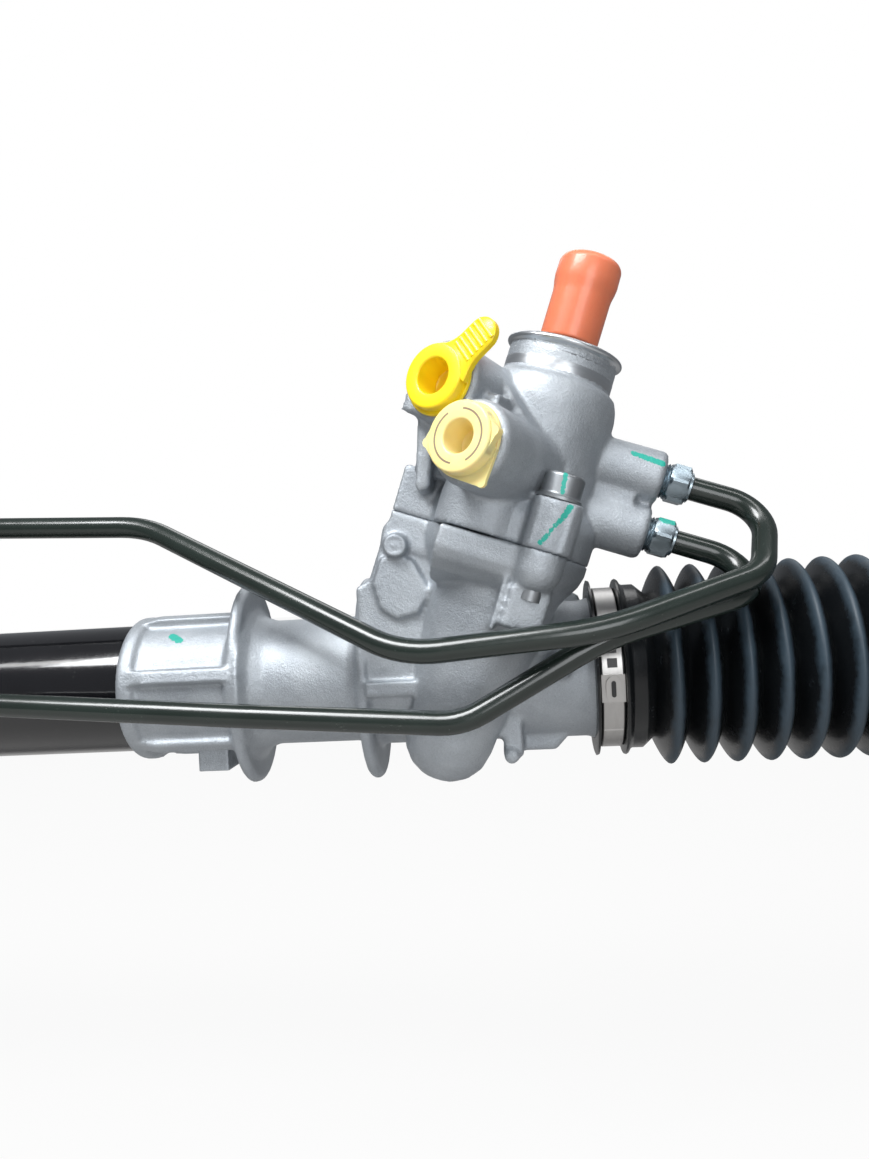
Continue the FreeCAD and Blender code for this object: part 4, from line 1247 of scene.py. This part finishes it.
@dataclass
class Boot:
    """A rubber boot: cuff under a band, folds in three pieces, and a small cuff on the tie rod."""

    side: str
    neck: float
    seat: float
    folds: int = 14
    pitch: float = 10.57
    first: float = 24.0
    crest: float = 32.7
    valley: float = 23.8
    wall: float = 1.2
    crest_taper: float = 15.0
    valley_taper: float = 12.0
    taper_folds: float = 4.0
    swing_folds: float = 2.0
    sweep_folds: float = 2.0
    sweep_blend: float = 1.3
    fullness: float = 1.45
    sharpness: float = 0.99
    steps_per_fold: int = 22
    steps_around: int = 128
    small_cuff: float = 170.4
    small_width: float = 14.0
    small_radius: float = 10.0
    rod: float = 7.8

    @property
    def sign(self) -> int:
        """Which way the boot runs along the rack."""
        return SIGNS[self.side]

    def at(self, height: float) -> float:
        """Place along the rack, in millimetres, of a height up the boot."""
        return self.neck + self.sign * height

    def cuff(self) -> Form:
        """Big cuff with a lip either side of the band and a shoulder up to the folds.

        Returns:
            The form in its place.
        """
        band = self.seat + CUFF_WALL
        line = [(self.seat + 0.05, 0.05), (band + 2.9, 0.05), (band + 3.55, 0.3), (band + 3.3, 1.05), (band + 0.5, 1.5),
                (band, 1.8), (band, 8.7), (band + 0.6, 8.9), (band + 3.3, 9.2), (band + 3.55, 9.75),
                (band + 3.2, 10.35), (band + 1.9, 11.1), (band + 1.45, 11.9), (band + 1.45, 15.3),
                (band + 0.7, 16.2), (self.valley + 0.1, self.first - self.pitch / 2 + 0.15),
                (self.valley - self.wall, self.first - self.pitch / 2 + 0.15), (self.seat + 0.05, 15.0)]
        return turned(line, 160).placed(along_rack(self.neck, self.sign))

    def small(self) -> Form:
        """Small cuff that grips the tie rod.

        Returns:
            The form in its place.
        """
        start = self.first + self.pitch * (self.folds - 0.5) - 0.4
        low = self.small_cuff
        last_valley = self.valley - self.valley_taper
        line = [(last_valley - 0.1, start), (last_valley + 0.6, start + 0.8), (self.small_radius + 1.2, low),
                (self.small_radius, low + 1.2), (self.small_radius, low + self.small_width - 0.8),
                (self.small_radius - 0.8, low + self.small_width), (self.rod + 0.08, low + self.small_width),
                (self.rod + 0.08, start)]
        return turned(line, 96).placed(along_rack(self.neck, self.sign))

    def folds_skin(self, tree: SkinTree, low: float, high: float) -> bpy.types.Mesh:
        """Skin from one fold to another, counted in folds from the first valley.

        Args:
            tree: The tree that makes skins.
            low: First fold.
            high: Last fold.

        Returns:
            The mesh of those folds.
        """
        start = self.first - self.pitch / 2 + low * self.pitch
        taper = self.folds - 0.5 - self.taper_folds - low
        return tree.skin(
            Finish.BOOT, self.wall * MM, Start=self.at(start) * MM, Length=(high - low) * self.pitch * MM,
            Pitch=self.pitch * MM, Crest=self.crest * MM, Valley=self.valley * MM, Sharpness=self.sharpness,
            Taper_Start=taper, Taper_Length=self.taper_folds, Crest_Taper=self.crest_taper * MM,
            Valley_Taper=self.valley_taper * MM, Side=float(self.sign), Fullness=self.fullness,
            Along=int((high - low) * self.steps_per_fold) + 1, Around=self.steps_around)

    def build(self, tree: SkinTree) -> None:
        """Makes the boot in five pieces.

        Args:
            tree: The tree that makes skins.
        """
        rubber = Finish.BOOT
        MAKER.add("boot_cuff_" + self.side, self.cuff(), rubber, "housing", ["bellows_" + self.side], 50)
        sweep_start = self.folds - self.sweep_folds
        slide_end = sweep_start - self.swing_folds
        start = self.at(self.first - self.pitch / 2)
        middle = self.at(self.first + (slide_end - 0.5) * self.pitch)
        end = self.at(self.first + (sweep_start - 0.5) * self.pitch)
        held = end + self.sign * self.sweep_blend * self.pitch
        seat, tie = "seat_" + self.side, "tie_" + self.side
        for name, low, high, bodies, ends in (
                ("boot_slide_folds_", 0, slide_end, ("housing", "rack"), (start, middle)),
                ("boot_swing_folds_", slide_end, sweep_start, ("rack", seat), (middle, end)),
                ("boot_sweep_folds_", sweep_start, self.folds, (seat, tie), (end, held))):
            folds = MAKER.add(name + self.side, self.folds_skin(tree, low, high), rubber, "", smooth=80)
            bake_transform(folds)
        MAKER.add("boot_small_cuff_" + self.side, self.small(), rubber, tie, smooth=50)


@dataclass
class BandClamp:
    """A stainless band with its buckle, slot and two windows, over a boot's big cuff."""

    side: str
    neck: float
    seat: float
    low: float = 1.9
    width: float = 6.6
    wall: float = 0.8
    edge: float = 0.25
    plate_span: Pair = (-8.6, 0.2)
    tail_span: Pair = (-20.0, 13.0)
    slot_height: float = -4.3
    window_heights: Pair = (2.3, 6.8)

    def _curved(self, outline: Profile, inner: float, outer: float) -> Form:
        """A plate that follows the band: outline points are place along the rack and height round the front."""
        return layered([[Vector((x, -radius * math.cos(height / outer), radius * math.sin(height / outer)))
                         for x, height in outline] for radius in (inner, outer)])

    def _plate(self, middle: float, half: float, span: Pair, inner: float, outer: float) -> Form:
        """A four-cornered plate that follows the band."""
        left, right = middle - half, middle + half
        return self._curved([(left, span[0]), (right, span[0]), (right, span[1]), (left, span[1])], inner, outer)

    def _slot(self, centre: Pair, half: Pair, steps: int = 8) -> list[Pair]:
        """Outline of a round-ended slot that runs round the band.

        Args:
            centre: Place along the rack, and height round the front.
            half: Half its width, and half its length.
            steps: Steps of each round end.

        Returns:
            Points of the outline.
        """
        x, z = centre
        line = arc_line((x, z + half[1] - half[0]), half[0], 0, 180, steps)
        line += arc_line((x, z - half[1] + half[0]), half[0], 180, 360, steps)
        return line

    def build(self) -> None:
        """Makes the band, the buckle and its dark openings."""
        inner = self.seat + CUFF_WALL
        outer = inner + self.wall
        sign = SIGNS[self.side]
        low, high = self.low, self.low + self.width
        middle = self.neck + sign * (low + high) / 2
        edge, half = self.edge, self.width / 2
        ring = turned([(inner + 0.02, low), (outer - edge, low), (outer, low + edge), (outer, high - edge),
                       (outer - edge, high), (inner + 0.02, high)], 160).placed(along_rack(self.neck, sign))
        buckle = [self._plate(middle, half + 0.3, self.plate_span, inner, outer + 0.75),
                  self._plate(middle, half - 0.3, self.tail_span, outer - 0.2, outer + 0.28),
                  self._curved(self._slot((middle, self.slot_height), (2.3, 3.9)), inner, outer + 1.2)]
        MAKER.add("clamp_band_" + self.side, Form.joined([ring, *buckle]), Finish.BAND, "housing",
                  ["band_clamp_" + self.side], 35)
        holes = [self._curved(self._slot((middle, self.slot_height), (0.7, 2.6)), inner, outer + 1.26)]
        for height in self.window_heights:
            holes.append(self._plate(middle, 1.5, (height, height + 2.9), inner, outer + 0.34))
            holes.append(self._curved([(middle + 0.6, height + 0.6), (middle + 1.3, height + 2.4),
                                       (middle - 0.5, height + 2.4)], inner, outer + 0.4))
        MAKER.add("clamp_windows_" + self.side, Form.joined(holes), Finish.BAND, "housing",
                  coat=MAKER.finishes[Finish.SEAL])


# Plugs and cap

@dataclass
class ShaftCap:
    """The orange cap over the input shaft, a little swollen near its rounded end."""

    low: float = 111.0
    high: float = 139.0
    radius: float = 9.3
    bore: float = 7.95
    roof: float = 132.5

    def build(self) -> None:
        """Makes the cap."""
        r, top = self.radius, self.high
        line = [(self.bore, self.low), (r - 0.35, self.low), (r - 0.05, self.low + 0.3), (r, self.low + 1),
                (r, top - 13), (r + 0.15, top - 11.5), (r + 0.55, top - 9.6), (r + 0.8, top - 7.6),
                (r + 0.72, top - 5.6)]
        line += arc_line((r - 2.6, top - 3.6), 3.3, 8, 84, 9)
        line += [(r - 4.5, top - 0.18), (0, top - 0.1), (0, self.roof), (self.bore, self.roof)]
        MAKER.add("pull_cap", turned(line, 128).placed(TOWER.matrix()), Finish.CAP, "cap", ["shaft_cap"], 50)


@dataclass
class PortPlug:
    """A moulded plug in a hose port: skirt, disc with a blind hole, and a stem."""

    name: str
    node: str
    body: str
    finish: Finish
    height: float
    offset: float
    reach: float
    disc_radius: float
    disc_width: float
    hole: float
    skirt_radius: float = 10.9
    skirt_width: float = 1.2
    stem: float = 6.42
    depth: float = 9.0

    def place(self) -> Matrix:
        """Frame of the plug: Z points out, with the port's face at the reach."""
        return TOWER.port(self.height, self.offset)

    def base(self) -> Form:
        """Stem, skirt, disc and blind hole in one turning.

        Returns:
            The form in the plug's own frame.
        """
        face = self.reach + self.disc_width
        r, skirt, step = self.disc_radius, self.skirt_radius, self.reach + self.skirt_width
        line = [(0, self.reach - 12), (self.stem - 0.5, self.reach - 12), (self.stem, self.reach - 11.4),
                (self.stem, self.reach + 0.02), (skirt - 0.3, self.reach + 0.02), (skirt, self.reach + 0.3),
                (skirt, step - 0.3), (skirt - 0.3, step), (r + 0.1, step), (r, step + 0.3)]
        line += arc_line((r - 0.8, face - 0.8), 0.8, 0, 90, 5)
        line += arc_line((self.hole + 0.6, face - 0.6), 0.6, 90, 180, 5)
        line += [(self.hole - 0.3, face - self.depth), (self.hole - 0.9, face - self.depth - 0.5),
                 (0, face - self.depth - 0.5)]
        return turned(line, 128)

    def turn(self, degrees: float) -> Matrix:
        """The plug's frame, turned about its axis."""
        return self.place() @ spun(degrees, "Z")


class GripRibs(RuleTree):
    """Rounded ribs laid side by side along a pull tab."""

    SIDES = 16

    def __init__(self) -> None:
        """Builds the tree: round bars on a row of points."""
        super().__init__("grip_ribs", {"Spacing": 0.002, "Length": 0.006, "Radius": 0.0006, "Count": 6})
        step = self.node("ShaderNodeCombineXYZ", None, {0: self.given["Spacing"]})
        row = self.node("GeometryNodeMeshLine", {"mode": "OFFSET"}, {
            "Count": self.given["Count"], "Offset": step.outputs[0]})
        bar = self.node("GeometryNodeMeshCylinder", {"fill_type": "NGON"}, {
            "Vertices": self.SIDES, "Radius": self.given["Radius"], "Depth": self.given["Length"]})
        lay = self.node("GeometryNodeInstanceOnPoints", None, {
            "Points": row.outputs[0], "Instance": bar.outputs[0], "Rotation": (math.pi / 2, 0, 0)})
        self.close(lay.outputs[0])


@dataclass
class TabPlug(PortPlug):
    """The yellow plug, with a ribbed pull tab."""

    name: str = "pressure_plug_cap"
    node: str = "pressure_port_plug"
    body: str = "pressure_plug"
    finish: Finish = Finish.YELLOW
    height: float = 83.9
    offset: float = 11.6
    reach: float = 41.4
    disc_radius: float = 9.7
    disc_width: float = 4.2
    hole: float = 5.3
    tab_turn: float = 22.0
    tab_side: float = -1.2
    tab_reach: float = 22.8
    tab_half: float = 4.7
    tab_thick: float = 2.4
    tab_edge: float = 0.45
    ribs: int = 6
    first_rib: float = 10.9
    rib_spacing: float = 1.8
    rib_length: float = 7.6
    rib_radius: float = 0.95
    rib_sink: float = 0.98

    def tab(self) -> Form:
        """Flat tongue that widens into the disc and ends round, with a soft upper edge.

        Returns:
            The form in the tab's own frame.
        """
        half, reach = self.tab_half, self.tab_reach
        side = [(6.2, 7.5), (8.0, 6.7), (9.6, 5.8), (11.2, 5.2), (13.0, half + 0.1)]
        outline = [(x, -y) for x, y in side]
        outline += arc_line((reach - half, 0), half, -90, 90, 20)
        outline += side[::-1]
        high = self.reach + self.disc_width - 0.3
        edge = self.tab_edge
        inset = [(x - edge * (x > reach - half), y * (1 - edge / half)) for x, y in outline]
        levels = ((high - self.tab_thick, outline), (high - edge, outline), (high, inset))
        return layered([[Vector((x, y, z)) for x, y in line] for z, line in levels])

    def build(self) -> None:
        """Makes the plug, its tab and the ribs on the tab."""
        turn = self.turn(self.tab_turn) @ moved(y=self.tab_side)
        form = Form.joined([self.base().placed(self.place()), self.tab().placed(turn)])
        MAKER.add(self.name, form, self.finish, self.body, [self.node], 45)
        row = GripRibs().made(Count=self.ribs, Spacing=self.rib_spacing * MM, Length=self.rib_length * MM,
                              Radius=self.rib_radius * MM, Material=MAKER.finishes[self.finish])
        place = turn @ moved(self.first_rib, 0, self.reach + self.disc_width - self.rib_sink)
        place.translation *= MM
        row.transform(place)
        MAKER.add(self.name + "_ribs", row, self.finish, self.body)


@dataclass
class LobePlug(PortPlug):
    """The cream plug, with two blunt lobes, painted shade in arcs for the grooves of its face, and a cornered skirt."""

    name: str = "return_plug_cap"
    node: str = "return_port_plug"
    body: str = "return_plug"
    finish: Finish = Finish.CREAM
    height: float = 67.8
    offset: float = -6.0
    reach: float = 44.1
    disc_radius: float = 10.2
    disc_width: float = 5.1
    hole: float = 4.8
    lobe_turn: float = -13.0
    lobe_tip: float = 12.4
    corner_turn: float = -80.0
    corner_tip: float = 15.2
    groove_radius: float = 7.65
    groove_half: float = 0.27

    def point(self, radius: float, tip: float, low: float, high: float, turn: float) -> Form:
        """A wedge that widens a round plate to one blunt point.

        Args:
            radius: Radius of the plate.
            tip: How far out the point reaches.
            low: Underside of the plate.
            high: Top of the plate.
            turn: Angle of the point round the plug, in degrees.

        Returns:
            The wedge in its place.
        """
        angle = math.acos(radius / tip)
        x, y = radius * math.cos(angle), radius * math.sin(angle)
        outline = [(self.stem, -y * 0.8), (x, -y), (tip - 1.2, -1.5), (tip - 0.35, -0.9), (tip - 0.05, 0),
                   (tip - 0.35, 0.9), (tip - 1.2, 1.5), (x, y), (self.stem, y * 0.8)]
        return prism(outline, low, high).placed(self.turn(turn))

    def groove(self, start: float, end: float) -> Form:
        """A dark arc of painted shade for a groove, let into the face with its top just over it.

        Args:
            start: Angle where it starts, in degrees.
            end: Angle where it ends.

        Returns:
            The form in the plug's own frame.
        """
        face = self.reach + self.disc_width
        outline = arc_line((0, 0), self.groove_radius + self.groove_half, start, end, 24)
        outline += arc_line((0, 0), self.groove_radius - self.groove_half, end, start, 24)
        return prism(outline, face - 0.3, face + 0.012)

    def build(self) -> None:
        """Makes the plug, its lobes, the skirt's corner and the painted shade of the grooves."""
        low, high = self.reach + 1.8, self.reach + self.disc_width - 0.9
        forms = [self.base().placed(self.place())]
        forms += [self.point(self.disc_radius, self.lobe_tip, low, high, self.lobe_turn + half) for half in (0, 180)]
        forms.append(self.point(self.skirt_radius, self.corner_tip, self.reach + 0.05,
                                self.reach + self.skirt_width - 0.05, self.corner_turn))
        MAKER.add(self.name, Form.joined(forms), self.finish, self.body, [self.node], 45)
        arcs = Form.joined([self.groove(-82, 66), self.groove(103, 241)]).placed(self.place())
        # The brown ring plastic on these arcs is painted shade for the grooves.
        MAKER.add(self.name + "_groove_shade", arcs, self.finish, self.body, coat=MAKER.finishes[Finish.RING])


@dataclass
class FlareNuts:
    """Tube nuts with a few threads in view and a chamfered hexagon."""

    across: float = 11.6
    thread: float = 5.6
    neck: float = 2.0
    hexagon: float = 6.2
    chamfer: float = 0.75
    pipe: float = 3.72
    boss_end: float = 40.3
    boss_top: float = 33.0
    heights: Pair = (77.8, 60.5)
    tube_ports: tuple[tuple[float, Point], ...] = ((-165.0, (0.0, 0.0, 1.0)), (-335.0, (0.0, -1.0, 0.0)))

    def places(self) -> list[tuple[Matrix, float]]:
        """Frame of each nut and how far out its seat lies.

        Returns:
            For each nut, a frame whose Z points out of the port, and that distance.
        """
        found = [(TOWER.side(height), self.boss_end) for height in self.heights]
        found += [(moved(x) @ aimed(Vector(out)), self.boss_top) for x, out in self.tube_ports]
        return found

    def head(self, end: float) -> Form:
        """Hexagon with chamfered ends and a round collar either side.

        Args:
            end: How far out the nut's seat lies.

        Returns:
            The form in the nut's own frame.
        """
        low, high = end + self.neck, end + self.neck + self.hexagon
        sixth, flat = math.pi / 3, self.across / 2
        corner = flat / math.cos(sixth / 2)
        soft, cut = flat * 0.97, self.chamfer
        ring = turned([(self.pipe, low), (soft, low), (corner, low + cut), (corner, high - cut), (soft, high),
                       (self.pipe, high)])
        points = []
        for point in ring.points:
            inside = (math.atan2(point.y, point.x) + sixth / 2) % sixth - sixth / 2
            factor = min(1.0, flat / math.cos(inside) / math.hypot(point.x, point.y))
            points.append(Vector((point.x * factor, point.y * factor, point.z)))
        collar = turned([(self.pipe, high - 0.1), (self.pipe + 1.0, high - 0.1), (self.pipe + 1.0, high + 0.8),
                         (self.pipe + 0.5, high + 1.1), (self.pipe, high + 1.1)], 48)
        return Form.joined([Form(points, ring.faces), collar])

    def build(self, tree: SkinTree) -> None:
        """Makes the four nuts with their threads.

        Args:
            tree: The tree that makes skins.
        """
        work = bmesh.new()
        for place, end in self.places():
            work.from_mesh(self.head(end).placed(place).mesh("head"))
            thread = tree.skin(Finish.ZINC, Start=(end - 1.0) * MM, Length=(self.neck + 1.1) * MM, Pitch=1.0 * MM,
                               Crest=self.thread * MM, Valley=(self.thread - 0.6) * MM, Sharpness=0.97, Helix=1.0,
                               Along=34, Around=64)
            spin = place @ spun(-90, "Y")
            spin.translation *= MM
            thread.transform(spin)
            work.from_mesh(thread)
        data = bpy.data.meshes.new("tube_nuts")
        work.to_mesh(data)
        work.free()
        MAKER.add("tube_nuts", data, Finish.ZINC, "housing", ["flare_nuts"], 35)


@dataclass
class TieRodThread:
    """Rolled thread on the outer end of a tie rod."""

    side: str
    stretches: tuple[Pair, ...] = ((240.0, 249.9), (260.6, 290.8))
    pitch: float = 1.5
    radius: float = 7.0
    ball_right: float = 183.0
    ball_left: float = -497.0

    def build(self, tree: SkinTree) -> None:
        """Makes the thread as skins just over the plain rod, either side of the jam nut.

        Args:
            tree: The tree that makes skins.
        """
        sign = SIGNS[self.side]
        ball = self.ball_right if sign > 0 else self.ball_left
        for number, (low, high) in enumerate(self.stretches):
            data = tree.skin(Finish.STEEL, Start=(ball + sign * low) * MM, Length=(high - low) * MM,
                             Pitch=self.pitch * MM, Crest=(self.radius + 0.02) * MM,
                             Valley=(self.radius - 0.75) * MM, Sharpness=0.96, Helix=1.0, Side=float(sign),
                             Along=int((high - low) / self.pitch * 10), Around=48)
            MAKER.add(f"rod_thread_{self.side}_{number}", data, Finish.STEEL, "tie_" + self.side, smooth=80)


# Room, light and camera

@dataclass
class Studio:
    """A pale floor, a large soft light over the left shoulder, two fills and the photograph's camera."""

    floor: float = -0.16
    lens: float = 26.96
    sensor: float = 36.0
    spot: Point = (0.0755, -0.296, 0.0313)
    yaw: float = 6.05
    pitch: float = 90.22
    roll: float = -3.32

    def lamp(self, name: str, place: Point, aim: Point, size: Pair, watts: float,
             colour: Colour = (1.0, 1.0, 1.0)) -> None:
        """Adds a soft rectangular lamp.

        Args:
            name: Its name.
            place: Where it stands, in metres.
            aim: What it points at, in metres.
            size: Width and height, in metres.
            watts: Its power.
            colour: Its colour.
        """
        data = bpy.data.lights.new(name, "AREA")
        data.shape = "RECTANGLE"
        data.size, data.size_y = size
        data.energy = watts
        data.color = colour
        lamp = linked(name, data)
        lamp.location = place
        lamp.rotation_euler = (Vector(aim) - Vector(place)).to_track_quat("-Z", "Y").to_euler()

    def room(self) -> None:
        """Adds the floor and the world."""
        outline = [(-4.0, -4.0), (4.0, -4.0), (4.0, 6.0), (-4.0, 6.0)]
        data = bpy.data.meshes.new("floor")
        data.from_pydata([(x, y, self.floor) for x, y in outline], [], [[0, 1, 2, 3]])
        floor = linked("floor", data)
        data.materials.append(FloorFinish().material())
        world = bpy.data.worlds.new("studio")
        bpy.context.scene.world = world
        world.use_nodes = True
        board = Nodes(world.node_tree)
        plain = board.node("ShaderNodeBackground", None, {0: (0.90, 0.94, 1.0, 1.0), 1: 0.22})
        seen = board.node("ShaderNodeBackground", None, {0: WHITE, 1: 1.0})
        path = board.node("ShaderNodeLightPath")
        both = board.node("ShaderNodeMixShader", None, {
            0: path.outputs["Is Camera Ray"], 1: plain.outputs[0], 2: seen.outputs[0]})
        board.node("ShaderNodeOutputWorld", None, {0: both.outputs[0]})

    def camera(self) -> None:
        """Adds the camera at the photograph's angle."""
        data = bpy.data.cameras.new("camera")
        data.sensor_fit = "VERTICAL"
        data.sensor_height = self.sensor
        data.lens = self.lens
        data.clip_start = 0.01
        camera = linked("camera", data)
        turn = spun(self.yaw, "Z") @ spun(self.pitch, "X") @ spun(self.roll, "Z")
        camera.matrix_world = Matrix.Translation(self.spot) @ turn
        bpy.context.scene.camera = camera

    def build(self) -> None:
        """Sets up the whole studio."""
        self.room()
        self.camera()
        self.lamp("key", (-0.30, -0.55, 0.85), (0.03, 0.0, 0.02), (0.55, 0.40), 13.0, (0.97, 0.985, 1.0))
        self.lamp("strip", (0.05, -0.30, 0.70), (0.0, 0.0, 0.0), (1.6, 0.10), 3.5)
        self.lamp("fill", (0.30, -1.00, 0.22), (0.03, 0.0, 0.0), (0.5, 0.5), 3.8, (0.96, 0.98, 1.0))
        self.lamp("back", (0.1, 0.7, 0.8), (0.0, 0.0, 0.0), (1.0, 0.4), 2.5)
        bpy.context.scene.view_settings.view_transform = "Standard"


PLAIN_NODES: dict[Finish, tuple[str, ...]] = {
    Finish.TUBE: ("cylinder_tube", "tube_port_bosses"),
    Finish.STEEL: ("inner_seal_carrier", "pinion_lower_bearing", "pinion_upper_bearing", "bearing_spacer",
                   "valve_bearing", "pinion", "valve_sleeve", "input_shaft", "rack_bar", "piston",
                   "ball_socket_left", "ball_socket_right", "tie_rod_left", "tie_rod_right"),
    Finish.SEAL: ("inner_rack_seal", "outer_rack_seal", "input_seal"),
    Finish.BUSH: ("tube_end_bush", "guide_plug"),
    Finish.GUIDE: ("rack_guide",),
    Finish.SPRING: ("guide_spring", "torsion_bar", "small_clip_left", "small_clip_right"),
    Finish.ZINC: ("guide_lock_nut", "lock_washer_left", "lock_washer_right", "jam_nut_left", "jam_nut_right"),
    Finish.RING: ("sleeve_rings", "piston_ring"),
    Finish.PIPE: ("pipe_upper", "pipe_lower"),
    Finish.SEAT: ("ball_seat_left", "ball_seat_right"),
}


def main() -> None:
    """Builds the looks of the steering rack in order."""
    MAKER.finishes = build_finishes()
    for finish, nodes in PLAIN_NODES.items():
        for node in nodes:
            MAKER.dress(node, finish)
    RackHousing().build()
    ValveHousing().build()
    FlangeBolts().build()
    tree = SkinTree()
    FlareNuts().build(tree)
    for side, neck, seat in (("right", 94.8, 23.4), ("left", -404.8, 22.0)):
        Boot(side, neck, seat).build(tree)
        BandClamp(side, neck, seat).build()
        TieRodThread(side).build(tree)
    ShaftCap().build()
    TabPlug().build()
    LobePlug().build()
    Studio().build()
    LOG.info("%d pieces made", len(MAKER.pieces))


if __name__ == "__main__":
    logging.basicConfig(level=logging.INFO)
    main()
